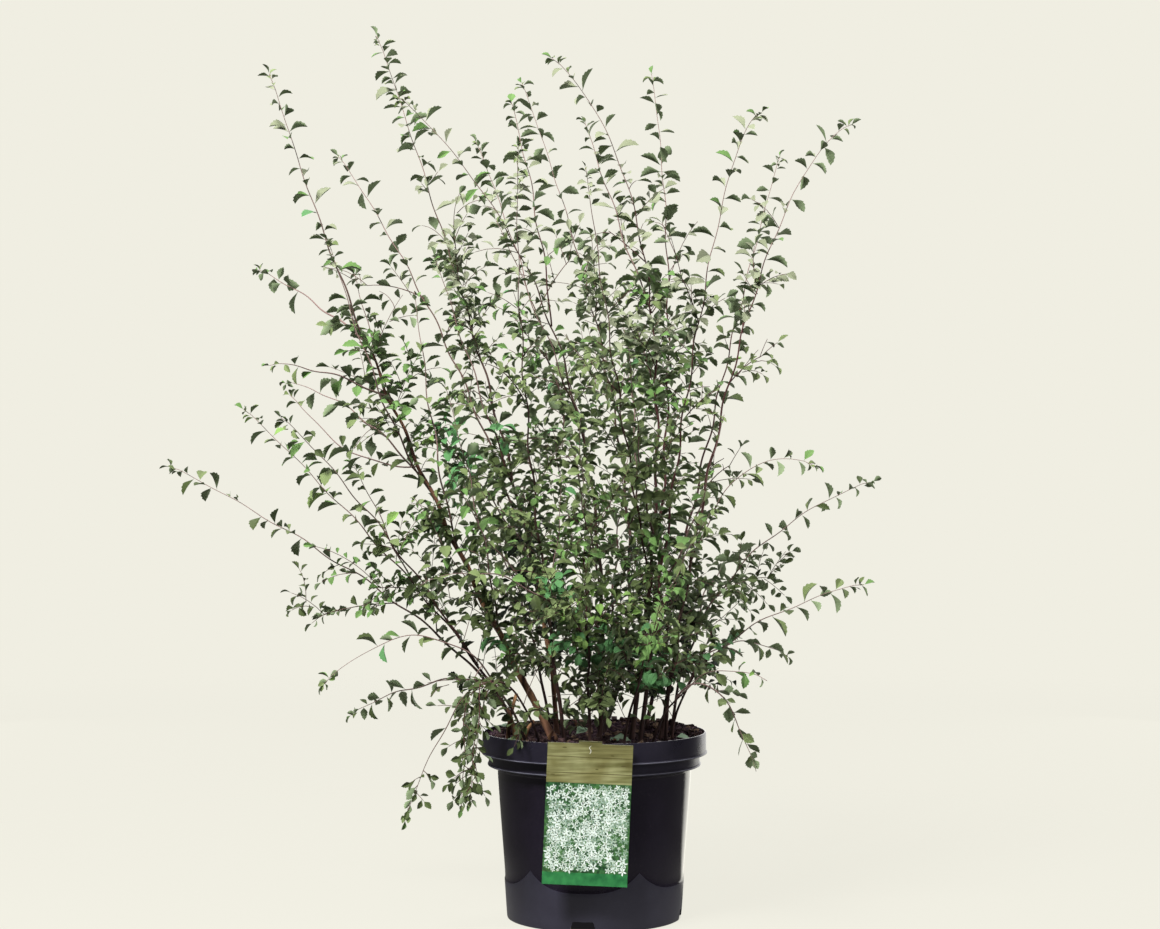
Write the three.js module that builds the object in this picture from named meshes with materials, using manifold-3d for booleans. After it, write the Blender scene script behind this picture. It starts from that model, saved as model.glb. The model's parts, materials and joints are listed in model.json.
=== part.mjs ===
// A spirea shrub in a round nursery pot. Canes rise from the soil, lean and arch outwards. Each cane is a
// bare stem and, from where its leaves begin, a spray: the same stem carried on, with side twigs and leaves
// fused to it. Forks are sprays that leave the bare stem of a cane. A plain care card hangs over the rim.
// Millimetres, +Z up. The origin is the centre of the pot's flat underside, +X is right, -Y is the front.
import * as THREE from "three";
import { mergeVertices } from "three/addons/utils/BufferGeometryUtils.js";
import Module from "manifold-3d";

const wasm = await Module();
wasm.setup();

const DEGREE = Math.PI / 180;
const UP = new THREE.Vector3(0, 0, 1);
const BACKWARD = new THREE.Vector3(0, 1, 0); // no limb runs this way, so it gives every limb a side
const CLEARANCE = 0.3; // between pieces that meet

// Pot
const POT_HEIGHT = 234;
const POT_WALL = 3;
const FOOT_RADIUS = 110;
const BODY_TOP_RADIUS = 122.5;
const BODY_TOP = 187;
const LOWER_BAND_RADIUS = 134;
const LOWER_BAND_BOTTOM = 192;
const UPPER_BAND_RADIUS = 142;
const UPPER_BAND_BOTTOM = 207;
const STANDING_DISC_RADIUS = 84;
const FOOT_RING_WIDTH = 3;
const FOOT_GROOVE_HEIGHT = 14;
const WELL_SLOPE = 4; // how far the standing disc's side leans outwards
const POT_SEGMENTS = 36;
const POT_TURN = -7.5 * DEGREE; // the front drain notch sits a little left of the front
const NOTCH_COUNT = 4;
const NOTCH_TOP_WIDTH = 25;
const NOTCH_BOTTOM_WIDTH = 35;
const NOTCH_HEIGHT = 13;
const NOTCH_DEPTH = 12;
const NOTCH_OVERCUT = 1; // below the foot, so that the notch is open at its bottom

// Soil
const SOIL_TOP = 222;
const SOIL_EDGE = 216;
const SOIL_FLAT_RADIUS = 112;
const WELL_GAP = 1; // between the soil and the side of the standing disc

// Care card
const CARD_WIDTH = 103;
const CARD_HEIGHT = 171;
const CARD_THICKNESS = 0.8;
const CARD_CENTRE_X = -9;
const CARD_CENTRE_Z = 149;
const CARD_TILT = 2.5 * DEGREE;
const CARD_HOOK_WIDTH = 28;
const CARD_HOOK_RISE = 2; // above the card's top edge
const CARD_HOOK_DROP = 8;
const CARD_HOOK_INSET = 3; // from the rim's inner wall, which curves away from the flat hook

// Limbs
const STEM_SIDES = 5;
const STEM_STEPS = 6;
const TWIG_SIDES = 3;
const SPRAY_STEPS = 6;
const TWIG_STEPS = 1;
const TIP_RADIUS = 1.9;
const FOOT_FLARE = 1.35;

// Growth of a spray
const GOLDEN_ANGLE = 137.5 * DEGREE;
const FIRST_SHOOT = 22; // from a spray's start to its first twig or leaf
const LEAFY_TIP = 230; // the last stretch of a spray, where leaves sit singly on its stem
const LEAF_SPACING = 42;
const TWIG_SPACING = 66;
const SPACING_DRIFT = 0.15; // the share by which spacing varies either way
const TWIG_SHORTEST = 55;
const TWIG_LONGEST = 100;
const TWIG_REACHES = [1, 0.75, 0.5, 0.3]; // a crowded twig is shorter
const TWIG_LEAN = 52 * DEGREE;
const TWIG_LIFT = 0.18;
const TWIG_RADIUS = 2.1;
const TWIG_TIP_RADIUS = 1.7;
const TWIG_LEAF_PLACES = [0.42, 0.74];
const LEAF_LONGEST = 54;
const LEAF_SHORTEST = 34;
const LEAF_WIDTH_RATIO = 0.6;
const LEAF_WIDEST_AT = 0.55;
const LEAF_THICKEST_AT = 0.25;
const LEAF_THICKNESS = 2.4;
const LEAF_FOLD = 0.07;
const LEAF_DROOP = 0.14;
const LEAF_ROLL = 3; // how far a leaf's face turns from facing up and along its twig
const LEAF_SINK = 0.7; // how far behind its twig's centreline a leaf is rooted
const LEAF_LEANS = [62 * DEGREE, 40 * DEGREE, 20 * DEGREE]; // a crowded leaf folds in to its twig
const SPACE_MARGIN = 1.2;
const PATH_STEPS = 14;

// Canes that stand in the soil: name, foot, the point that the cane bends towards, tip, thickness at the
// foot, and the share of the cane that is bare.
const CANES = [
  ["left_thick", [-50, -10], [-280, -55, 660], [-388, -118, 1026], 14, 0.62],
  ["left_tallest", [-48, 38], [-50, 45, 450], [-272, 60, 1104], 10, 0.3],
  ["left_inner", [6, -34], [40, -100, 760], [-225, -195, 1000], 9, 0.2],
  ["front_upright", [-36, -56], [-100, -150, 680], [-88, -325, 920], 8, 0.18],
  ["back_upright", [10, 44], [120, 130, 480], [-95, 320, 1095], 9, 0.2],
  ["middle", [46, -20], [140, -50, 880], [-42, -100, 1060], 10, 0.18],
  ["back_tall", [60, 34], [125, 110, 740], [81, 225, 1092], 9, 0.2],
  ["right_inner", [56, -62], [140, -110, 940], [190, -175, 985], 8, 0.2],
  ["right_arching", [84, -8], [190, 25, 910], [324, 80, 1008], 9, 0.2],
  ["right_back", [66, 74], [160, 175, 660], [258, 315, 992], 8, 0.2],
  ["left_leaning", [-92, -22], [-130, -38, 340], [-425, -60, 632], 6, 0.36],
  ["left_lowest", [-96, 14], [-130, 30, 350], [-535, 60, 564], 6, 0.3],
  ["left_front_low", [-84, -50], [-165, -90, 440], [-318, -125, 316], 5, 0.3],
  ["over_rim_left", [-66, -76], [-125, -125, 420], [-222, -165, 162], 5, 0.4],
  ["right_front_low", [88, -46], [112, -80, 610], [252, -145, 575], 6, 0.3],
  ["right_back_low", [98, 22], [115, 55, 450], [352, 100, 546], 6, 0.3],
  ["right_low", [98, -14], [100, -40, 355], [318, -80, 422], 5, 0.35],
  ["right_front_short", [68, -84], [110, -125, 345], [192, -200, 322], 5, 0.4],
  ["front_low", [-6, -88], [-10, -150, 500], [-20, -410, 620], 6, 0.34],
  ["back_low", [14, 92], [30, 150, 520], [60, 415, 640], 6, 0.3],
  ["front_right_low", [34, -92], [70, -150, 410], [130, -355, 520], 5, 0.3],
  ["back_left_low", [-56, 80], [-90, 140, 450], [-200, 390, 560], 6, 0.3],
];

// Forks: name, the cane it leaves, how far along that cane's bare stem, bend, tip, and thickness at its
// start.
const FORKS = [
  ["left_thick_high", "left_thick", 0.97, [-340, 0, 770], [-425, 65, 820], 4],
  ["left_thick_front", "left_thick", 0.84, [-330, -130, 690], [-375, -205, 690], 4],
  ["left_thick_back", "left_thick", 0.62, [-290, 40, 650], [-402, 160, 680], 4],
  ["left_tallest_back", "left_tallest", 0.9, [-150, 120, 700], [-342, 245, 985], 5],
  ["left_inner_back", "left_inner", 0.92, [-40, 0, 700], [-150, 110, 985], 4],
  ["middle_front", "middle", 0.92, [30, -200, 620], [-10, -330, 895], 4],
  ["left_leaning_front", "left_leaning", 0.9, [-270, -110, 520], [-362, -200, 620], 4],
  ["left_lowest_back", "left_lowest", 0.85, [-210, 90, 300], [-312, 150, 246], 4],
  ["right_low_back", "right_low", 0.8, [150, 40, 370], [246, 120, 325], 4],
  ["over_rim_right", "right_front_short", 0.8, [140, -125, 350], [190, -135, 216], 4],
  ["front_low_left", "front_low", 0.8, [-100, -200, 470], [-190, -330, 440], 4],
  ["right_back_low_back", "right_back_low", 0.8, [150, 180, 440], [215, 320, 450], 4],
];

const BLACK_PLASTIC = new THREE.MeshStandardMaterial({ color: 0x24212a, roughness: 0.3, metalness: 0 });
const DARK_SOIL = new THREE.MeshStandardMaterial({ color: 0x3c2a26, roughness: 1, metalness: 0 });
const PRINTED_CARD = new THREE.MeshStandardMaterial({ color: 0x6f8a4a, roughness: 0.45, metalness: 0 });
const CANE_BARK = new THREE.MeshStandardMaterial({ color: 0x7a4e38, roughness: 0.85, metalness: 0 });
const LEAF_GREEN = new THREE.MeshStandardMaterial({ color: 0x5c8048, roughness: 0.6, metalness: 0 });

const plant = new THREE.Group();

function addPiece(name, shape, material) {
  const mesh = new THREE.Mesh(geometryOf(shape), material);
  mesh.name = name;
  plant.add(mesh);
  return mesh;
}

// A closed geometry as a solid that can be joined and cut.
function solidOf(geometry) {
  geometry.deleteAttribute("normal");
  geometry.deleteAttribute("uv");
  const merged = mergeVertices(geometry);
  return new wasm.Manifold(
    new wasm.Mesh({
      numProp: 3,
      vertProperties: merged.getAttribute("position").array,
      triVerts: new Uint32Array(merged.index.array),
    }),
  );
}

// The largest body of a solid as a geometry, so that a loose scrap is dropped and a sealed hollow filled.
function geometryOf(shape) {
  const bodies = shape.decompose().sort((a, b) => b.volume() - a.volume());
  const { vertProperties, triVerts } = bodies[0].getMesh();
  const geometry = new THREE.BufferGeometry();
  geometry.setAttribute("position", new THREE.BufferAttribute(vertProperties, 3));
  geometry.setIndex(new THREE.BufferAttribute(triVerts, 1));
  geometry.computeVertexNormals();
  return geometry;
}

function joined(solids) {
  return solids.reduce((whole, piece) => whole.add(piece));
}

function turnedSolid(profile) {
  const points = profile.map(([radius, height]) => new THREE.Vector2(radius, height));
  return solidOf(new THREE.LatheGeometry(points, POT_SEGMENTS).rotateX(Math.PI / 2));
}

function box(width, depth, height, x, y, z) {
  return new THREE.BoxGeometry(width, depth, height).translate(x, y, z);
}

// Even draws from 0 to 1 that repeat for the same seed.
function seeded(seed) {
  let state = seed;
  return () => {
    state = (Math.imul(state, 1664525) + 1013904223) >>> 0;
    return state / 2 ** 32;
  };
}

function blend(from, to, share) {
  return from + (to - from) * share;
}

// The part of a cane's curve between two shares of it, which is a curve of the same kind.
function stretch(curve, from, to) {
  const blossom = (a, b) =>
    new THREE.Vector3()
      .addScaledVector(curve.v0, (1 - a) * (1 - b))
      .addScaledVector(curve.v1, a * (1 - b) + b * (1 - a))
      .addScaledVector(curve.v2, a * b);
  return new THREE.QuadraticBezierCurve3(blossom(from, from), blossom(from, to), blossom(to, to));
}

// A closed tapering limb along a curve. With a cut level, its foot is cut flat at that height.
function limb(curve, steps, sides, radiusAt, cutLevel = null) {
  const geometry = new THREE.CylinderGeometry(1, 1, 1, sides, steps);
  const frames = curve.computeFrenetFrames(steps);
  const position = geometry.getAttribute("position");
  for (let i = 0; i < position.count; i += 1) {
    const step = Math.round((position.getY(i) + 0.5) * steps);
    const radius = radiusAt(step / steps);
    const corner = curve.getPointAt(step / steps);
    corner.addScaledVector(frames.normals[step], position.getX(i) * radius);
    corner.addScaledVector(frames.binormals[step], -position.getZ(i) * radius);
    if (step === 0 && cutLevel !== null) {
      const tangent = frames.tangents[0];
      corner.addScaledVector(tangent, (cutLevel - corner.z) / tangent.z);
    }
    position.setXYZ(i, corner.x, corner.y, corner.z);
  }
  return solidOf(geometry);
}

// Points of a leaf measured along it, across it and off its face, in shares of its length.
function leafPlace(leaf, along, across, off) {
  return leaf.root
    .clone()
    .addScaledVector(leaf.along, along * leaf.length)
    .addScaledVector(leaf.across, across * leaf.length)
    .addScaledVector(leaf.face, off * leaf.length);
}

// An eight-faced leaf: folded up along its midrib, drooping at its tip, its root on its twig's centreline.
function leafSolid(leaf) {
  const geometry = new THREE.OctahedronGeometry(1);
  const position = geometry.getAttribute("position");
  const halfThickness = LEAF_THICKNESS / leaf.length / 2;
  for (let i = 0; i < position.count; i += 1) {
    const side = Math.round(position.getX(i));
    const end = Math.round(position.getY(i));
    const off = Math.round(position.getZ(i));
    const along = LEAF_WIDEST_AT * Math.abs(side) + LEAF_THICKEST_AT * Math.abs(off) + Math.max(end, 0);
    const across = (side * LEAF_WIDTH_RATIO) / 2;
    const lift = LEAF_FOLD * Math.abs(side) + halfThickness * off - LEAF_DROOP * Math.max(end, 0);
    const place = leafPlace(leaf, along, across, lift);
    position.setXYZ(i, place.x, place.y, place.z);
  }
  return solidOf(geometry);
}

// The points of a leaf that have to lie in its mass's own space.
function leafReach(leaf) {
  const halfWidth = LEAF_WIDTH_RATIO / 2;
  return [
    leafPlace(leaf, 1, 0, -LEAF_DROOP),
    leafPlace(leaf, LEAF_WIDEST_AT, halfWidth, LEAF_FOLD),
    leafPlace(leaf, LEAF_WIDEST_AT, -halfWidth, LEAF_FOLD),
    leafPlace(leaf, LEAF_WIDEST_AT, 0, 0),
  ];
}

// A unit direction that leans away from a limb's own direction, turned about it by an azimuth.
function leaning(along, azimuth, lean) {
  const outward = new THREE.Vector3().crossVectors(along, BACKWARD).normalize();
  outward.applyAxisAngle(along, azimuth);
  return along.clone().multiplyScalar(Math.cos(lean)).addScaledVector(outward, Math.sin(lean));
}

function clearOfPot(point) {
  const radius = Math.hypot(point.x, point.y);
  const overSoil = radius < UPPER_BAND_RADIUS - 2 * POT_WALL && point.z > SOIL_TOP + 2 * POT_WALL;
  const overRim = point.z > POT_HEIGHT + 2 * POT_WALL;
  const outside = radius > UPPER_BAND_RADIUS + 2 * POT_WALL;
  return overSoil || overRim || outside;
}

function distanceToPath(point, path, stopBelow = 0) {
  let nearest = Infinity;
  const closest = new THREE.Vector3();
  for (const line of path.lines) {
    line.closestPointToPoint(point, true, closest);
    nearest = Math.min(nearest, closest.distanceTo(point));
    if (nearest < stopBelow) {
      break;
    }
  }
  return nearest;
}

// A mass's own space is all that lies nearer its stem than any other limb, clear of the pot.
function inOwnSpace(point, own, paths) {
  if (!clearOfPot(point)) {
    return false;
  }
  const ownDistance = distanceToPath(point, own);
  return paths.every((path) => {
    const room = ownDistance + SPACE_MARGIN + path.radius;
    return path === own || distanceToPath(point, path, room) > room;
  });
}

function pathOf(curve, radius) {
  const points = curve.getPoints(PATH_STEPS);
  const lines = points.slice(1).map((point, i) => new THREE.Line3(points[i], point));
  return { lines, radius };
}

// The leaf at a place on a twig: it takes the widest lean that keeps it in its own space, or none at all.
function growLeaf(place, along, azimuth, length, roll, space) {
  const leans = azimuth === null ? [0] : LEAF_LEANS;
  for (const lean of leans) {
    const direction = leaning(along, azimuth ?? 0, lean);
    const above = along.clone().add(UP).addScaledVector(roll, LEAF_ROLL);
    const across = new THREE.Vector3().crossVectors(direction, above).normalize();
    const face = new THREE.Vector3().crossVectors(across, direction);
    const root = place.clone().addScaledVector(direction, -LEAF_SINK);
    const leaf = { root, along: direction, across, face, length };
    if (leafReach(leaf).every((point) => inOwnSpace(point, space.own, space.paths))) {
      return [leafSolid(leaf)];
    }
  }
  return [];
}

// A side twig with its leaves, as long as its own space allows, or nothing where a short one won't fit.
function growTwig(place, along, azimuth, longest, rolls, space) {
  for (const reach of TWIG_REACHES) {
    const length = longest * reach;
    const direction = leaning(along, azimuth, TWIG_LEAN);
    const end = place.clone().addScaledVector(direction, length).addScaledVector(along, length * TWIG_LIFT);
    const curve = new THREE.LineCurve3(place, end);
    const heading = curve.getTangent(1);
    const last = growLeaf(end, heading, null, LEAF_LONGEST, rolls[2], space);
    const fits = inOwnSpace(end, space.own, space.paths) && last.length > 0;
    if (fits) {
      const radiusAt = (share) => blend(TWIG_RADIUS, TWIG_TIP_RADIUS, share);
      const twig = limb(curve, TWIG_STEPS, TWIG_SIDES, radiusAt);
      const leaves = TWIG_LEAF_PLACES.flatMap((share, i) => {
        const side = azimuth + Math.PI * i;
        return growLeaf(curve.getPoint(share), heading, side, LEAF_LONGEST, rolls[i], space);
      });
      return [twig, ...leaves, ...last];
    }
  }
  return [];
}

// A spray: the stem to its tip, twigs along its lower part, single leaves above them and one at the tip.
function growSpray(curve, startRadius, space, seed) {
  const random = seeded(seed);
  const randomRoll = () => new THREE.Vector3(random() - 0.5, random() - 0.5, random() - 0.5);
  const length = curve.getLength();
  const radiusAt = (share) => blend(startRadius, TIP_RADIUS, share);
  const pieces = [limb(curve, SPRAY_STEPS, TWIG_SIDES, radiusAt)];
  let azimuth = random() * 2 * Math.PI;
  let reached = FIRST_SHOOT;
  while (reached < length - LEAF_SPACING / 2) {
    const share = reached / length;
    const place = curve.getPointAt(share);
    const along = curve.getTangentAt(share);
    const left = length - reached;
    const rolls = [randomRoll(), randomRoll(), randomRoll()];
    const twigLength = blend(TWIG_SHORTEST, TWIG_LONGEST, random());
    const looseness = blend(1 - SPACING_DRIFT, 1 + SPACING_DRIFT, random());
    const leafLength = blend(LEAF_SHORTEST, LEAF_LONGEST, Math.min(left / LEAFY_TIP, 1));
    const twig = left > LEAFY_TIP ? growTwig(place, along, azimuth, twigLength, rolls, space) : [];
    if (twig.length > 0) {
      pieces.push(...twig);
      reached += TWIG_SPACING * looseness;
    } else {
      pieces.push(...growLeaf(place, along, azimuth, leafLength, rolls[0], space));
      reached += LEAF_SPACING * looseness;
    }
    azimuth += GOLDEN_ANGLE;
  }
  const tip = curve.getPointAt(1);
  pieces.push(...growLeaf(tip, curve.getTangentAt(1), null, LEAF_SHORTEST, randomRoll(), space));
  return joined(pieces);
}

// The inner radius of the pot's body at a height.
function potInnerRadius(height) {
  return blend(FOOT_RADIUS, BODY_TOP_RADIUS, height / BODY_TOP) - POT_WALL;
}

function makePot() {
  const grooveInner = STANDING_DISC_RADIUS + WELL_SLOPE;
  const floorTop = FOOT_GROOVE_HEIGHT + POT_WALL;
  const profile = [
    [0, 0],
    [STANDING_DISC_RADIUS, 0],
    [grooveInner, FOOT_GROOVE_HEIGHT],
    [FOOT_RADIUS - FOOT_RING_WIDTH, FOOT_GROOVE_HEIGHT],
    [FOOT_RADIUS - FOOT_RING_WIDTH, 0],
    [FOOT_RADIUS, 0],
    [BODY_TOP_RADIUS, BODY_TOP],
    [LOWER_BAND_RADIUS, LOWER_BAND_BOTTOM],
    [LOWER_BAND_RADIUS, UPPER_BAND_BOTTOM],
    [UPPER_BAND_RADIUS, UPPER_BAND_BOTTOM],
    [UPPER_BAND_RADIUS, POT_HEIGHT],
    [UPPER_BAND_RADIUS - POT_WALL, POT_HEIGHT],
    [UPPER_BAND_RADIUS - POT_WALL, UPPER_BAND_BOTTOM + POT_WALL],
    [LOWER_BAND_RADIUS - POT_WALL, UPPER_BAND_BOTTOM + POT_WALL],
    [LOWER_BAND_RADIUS - POT_WALL, LOWER_BAND_BOTTOM + POT_WALL],
    [potInnerRadius(BODY_TOP), BODY_TOP + POT_WALL],
    [potInnerRadius(floorTop), floorTop],
    [grooveInner - POT_WALL, floorTop],
    [STANDING_DISC_RADIUS - POT_WALL, POT_WALL],
    [0, POT_WALL],
  ];
  const outline = new THREE.Shape([
    new THREE.Vector2(-NOTCH_BOTTOM_WIDTH / 2, -NOTCH_OVERCUT),
    new THREE.Vector2(NOTCH_BOTTOM_WIDTH / 2, -NOTCH_OVERCUT),
    new THREE.Vector2(NOTCH_TOP_WIDTH / 2, NOTCH_HEIGHT),
    new THREE.Vector2(-NOTCH_TOP_WIDTH / 2, NOTCH_HEIGHT),
  ]);
  let pot = turnedSolid(profile);
  for (let i = 0; i < NOTCH_COUNT; i += 1) {
    const notch = new THREE.ExtrudeGeometry(outline, { depth: NOTCH_DEPTH, bevelEnabled: false });
    notch.rotateX(Math.PI / 2).translate(0, NOTCH_DEPTH - POT_WALL - FOOT_RADIUS, 0);
    notch.rotateZ(POT_TURN + (i * 2 * Math.PI) / NOTCH_COUNT);
    pot = pot.subtract(solidOf(notch));
  }
  addPiece("nursery_pot", pot, BLACK_PLASTIC);
}

// Soil fills the pot to just under its rim, flat where the canes stand and a little lower at the wall.
function makeSoil() {
  const bandInner = LOWER_BAND_RADIUS - POT_WALL - CLEARANCE;
  const rimInner = UPPER_BAND_RADIUS - POT_WALL - CLEARANCE;
  const wellRadius = STANDING_DISC_RADIUS - POT_WALL - WELL_GAP;
  const bottom = POT_WALL + CLEARANCE;
  const shelf = FOOT_GROOVE_HEIGHT + POT_WALL + CLEARANCE;
  const step = POT_WALL + CLEARANCE;
  const soil = turnedSolid([
    [0, bottom],
    [wellRadius, bottom],
    [wellRadius + WELL_SLOPE - WELL_GAP, shelf],
    [potInnerRadius(shelf) - CLEARANCE, shelf],
    [potInnerRadius(BODY_TOP) - CLEARANCE, BODY_TOP + step],
    [bandInner, LOWER_BAND_BOTTOM + 2 * step],
    [bandInner, UPPER_BAND_BOTTOM + step],
    [rimInner, UPPER_BAND_BOTTOM + step],
    [rimInner, SOIL_EDGE],
    [SOIL_FLAT_RADIUS, SOIL_TOP],
    [0, SOIL_TOP],
  ]);
  addPiece("soil", soil, DARK_SOIL);
}

// The card hangs outside the rim, turned a little, with a hook over the rim and down inside it.
function makeCareCard() {
  const faceY = -UPPER_BAND_RADIUS - CLEARANCE - CARD_THICKNESS / 2;
  const lipY = -UPPER_BAND_RADIUS + POT_WALL + CARD_HOOK_INSET;
  const top = CARD_HEIGHT / 2;
  const bridge = top + CARD_HOOK_RISE;
  const hookMiddle = (faceY + lipY) / 2;
  const hookDepth = lipY - faceY + CARD_THICKNESS;
  const pieces = [
    box(CARD_WIDTH, CARD_THICKNESS, CARD_HEIGHT, 0, faceY, 0),
    box(CARD_HOOK_WIDTH, CARD_THICKNESS, 2 * CARD_HOOK_RISE, 0, faceY, top),
    box(CARD_HOOK_WIDTH, hookDepth, CARD_THICKNESS, 0, hookMiddle, bridge),
    box(CARD_HOOK_WIDTH, CARD_THICKNESS, CARD_HOOK_DROP, 0, lipY, bridge - CARD_HOOK_DROP / 2),
  ];
  const card = addPiece("care_card", joined(pieces.map(solidOf)), PRINTED_CARD);
  card.position.set(CARD_CENTRE_X, 0, CARD_CENTRE_Z);
  card.rotation.y = CARD_TILT;
}

// How far a curve's point moves for each whole of its share, at one place on it.
function paceAt(curve, share) {
  const first = curve.v1.clone().sub(curve.v0);
  const second = curve.v2.clone().sub(curve.v1);
  return 2 * first.lerp(second, share).length();
}

// The curves and radii of a cane's bare stem and of the spray that carries it on.
function planCane([name, foot, bend, tip, thickness, bare]) {
  const whole = new THREE.QuadraticBezierCurve3(
    new THREE.Vector3(...foot, SOIL_TOP + CLEARANCE),
    new THREE.Vector3(...bend),
    new THREE.Vector3(...tip),
  );
  const footRadius = thickness / 2;
  const startRadius = blend(footRadius, TIP_RADIUS, bare);
  const stem = stretch(whole, 0, bare);
  const curve = stretch(whole, bare + CLEARANCE / paceAt(whole, bare), 1);
  return { name, stem, footRadius, curve, startRadius };
}

// A fork starts clear of the stem it leaves, further off the more it slants along that stem.
function planFork([name, from, place, bend, tip, thickness], canes) {
  const parent = canes.find((cane) => cane.name === from);
  const root = parent.stem.getPointAt(place);
  const heading = new THREE.Vector3(...bend).sub(root).normalize();
  const slant = heading.angleTo(parent.stem.getTangentAt(place));
  const parentRadius = blend(parent.footRadius, parent.startRadius, place);
  const startRadius = thickness / 2;
  const clear = parentRadius + CLEARANCE + startRadius * Math.cos(slant);
  root.addScaledVector(heading, clear / Math.sin(slant));
  const bent = new THREE.Vector3(...bend);
  const curve = new THREE.QuadraticBezierCurve3(root, bent, new THREE.Vector3(...tip));
  return { name, curve, startRadius };
}

makePot();
makeSoil();
makeCareCard();

const canes = CANES.map(planCane);
const sprays = [...canes, ...FORKS.map((fork) => planFork(fork, canes))];
const stemPaths = canes.map((cane) => pathOf(cane.stem, cane.footRadius));
const sprayPaths = sprays.map((spray) => pathOf(spray.curve, spray.startRadius));
const paths = [...stemPaths, ...sprayPaths];

for (const cane of canes) {
  const radiusAt = (share) => {
    const flare = share === 0 ? FOOT_FLARE : 1;
    return flare * blend(cane.footRadius, cane.startRadius, share);
  };
  const stem = limb(cane.stem, STEM_STEPS, STEM_SIDES, radiusAt, SOIL_TOP + CLEARANCE);
  addPiece("cane_" + cane.name, stem, CANE_BARK);
}

sprays.forEach(({ name, curve, startRadius }, i) => {
  const space = { own: sprayPaths[i], paths };
  addPiece("spray_" + name, growSpray(curve, startRadius, space, i + 1), LEAF_GREEN);
});

export default plant;
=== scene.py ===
"""A spirea shrub in a black nursery pot: canes, leafy sprays, soil and care card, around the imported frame.

Lengths in the tables and in the growing rule are millimetres, as in the part's source. Meshes are in metres.
+X is right, -Y is the front and +Z is up, from the centre of the pot's underside.
"""
import json
import math
import bpy
import numpy as np
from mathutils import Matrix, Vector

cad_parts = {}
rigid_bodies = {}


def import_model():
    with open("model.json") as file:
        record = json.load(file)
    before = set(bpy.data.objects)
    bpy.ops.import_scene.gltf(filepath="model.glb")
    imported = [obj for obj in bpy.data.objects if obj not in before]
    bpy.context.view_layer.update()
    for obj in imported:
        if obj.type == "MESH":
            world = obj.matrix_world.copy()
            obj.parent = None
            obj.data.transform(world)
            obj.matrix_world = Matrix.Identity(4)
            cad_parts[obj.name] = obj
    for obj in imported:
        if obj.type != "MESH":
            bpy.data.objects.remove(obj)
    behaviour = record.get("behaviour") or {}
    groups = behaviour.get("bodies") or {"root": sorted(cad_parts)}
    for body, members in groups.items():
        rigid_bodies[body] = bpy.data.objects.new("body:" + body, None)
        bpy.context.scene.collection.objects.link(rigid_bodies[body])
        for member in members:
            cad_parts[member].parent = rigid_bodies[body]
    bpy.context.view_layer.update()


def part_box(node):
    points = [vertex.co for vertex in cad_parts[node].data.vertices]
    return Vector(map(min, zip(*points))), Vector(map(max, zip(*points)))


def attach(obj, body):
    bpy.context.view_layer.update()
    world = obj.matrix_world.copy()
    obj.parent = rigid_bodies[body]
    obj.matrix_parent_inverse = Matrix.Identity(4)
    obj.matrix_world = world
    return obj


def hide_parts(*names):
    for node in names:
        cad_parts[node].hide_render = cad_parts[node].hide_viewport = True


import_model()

MM = 0.001
DEGREE = math.pi / 180
FULL_TURN = 2 * math.pi
UP = np.array([0.0, 0.0, 1.0])
BACKWARD = np.array([0.0, 1.0, 0.0])

# --------------------------------------------------
# Sizes that the solids use too
CLEARANCE = 0.3
POT_HEIGHT = 234
POT_WALL = 3
FOOT_RADIUS = 110
BODY_TOP_RADIUS = 122.5
BODY_TOP = 187
LOWER_BAND_RADIUS = 134
LOWER_BAND_BOTTOM = 192
UPPER_BAND_RADIUS = 142
UPPER_BAND_BOTTOM = 207
STANDING_DISC_RADIUS = 84
FOOT_RING_WIDTH = 3
FOOT_GROOVE_HEIGHT = 14
POT_TURN = -7.5 * DEGREE
NOTCH_COUNT = 4
NOTCH_TOP_WIDTH = 25
NOTCH_BOTTOM_WIDTH = 35
NOTCH_HEIGHT = 13
SOIL_TOP = 222
SOIL_EDGE = 216
CARD_WIDTH = 103
CARD_HEIGHT = 171
CARD_THICKNESS = 0.8
CARD_CENTRE_X = -9
CARD_CENTRE_Z = 149
CARD_TILT = 2.5 * DEGREE
CARD_HOOK_WIDTH = 28
CARD_HOOK_DROP = 8
CARD_HOOK_INSET = 3

TIP_RADIUS = 1.9
GOLDEN_ANGLE = 137.5 * DEGREE
FIRST_SHOOT = 22
LEAFY_TIP = 230
LEAF_SPACING = 42
TWIG_SPACING = 66
TWIG_SHORTEST = 55
TWIG_LONGEST = 100
TWIG_REACHES = [1, 0.75, 0.5, 0.3]
TWIG_LEAN = 52 * DEGREE
TWIG_LIFT = 0.18
LOOSENESS = (0.85, 1.15)
LEAF_LONGEST = 54
LEAF_WIDTH_RATIO = 0.6
LEAF_WIDEST_AT = 0.55
LEAF_FOLD = 0.07
LEAF_DROOP = 0.14
LEAF_ROLL = 3
LEAF_SINK = 0.7
LEAF_LEANS = [62 * DEGREE, 40 * DEGREE, 20 * DEGREE]
SPACE_MARGIN = 1.2
PATH_STEPS = 14
ARC_STEPS = 200

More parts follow.
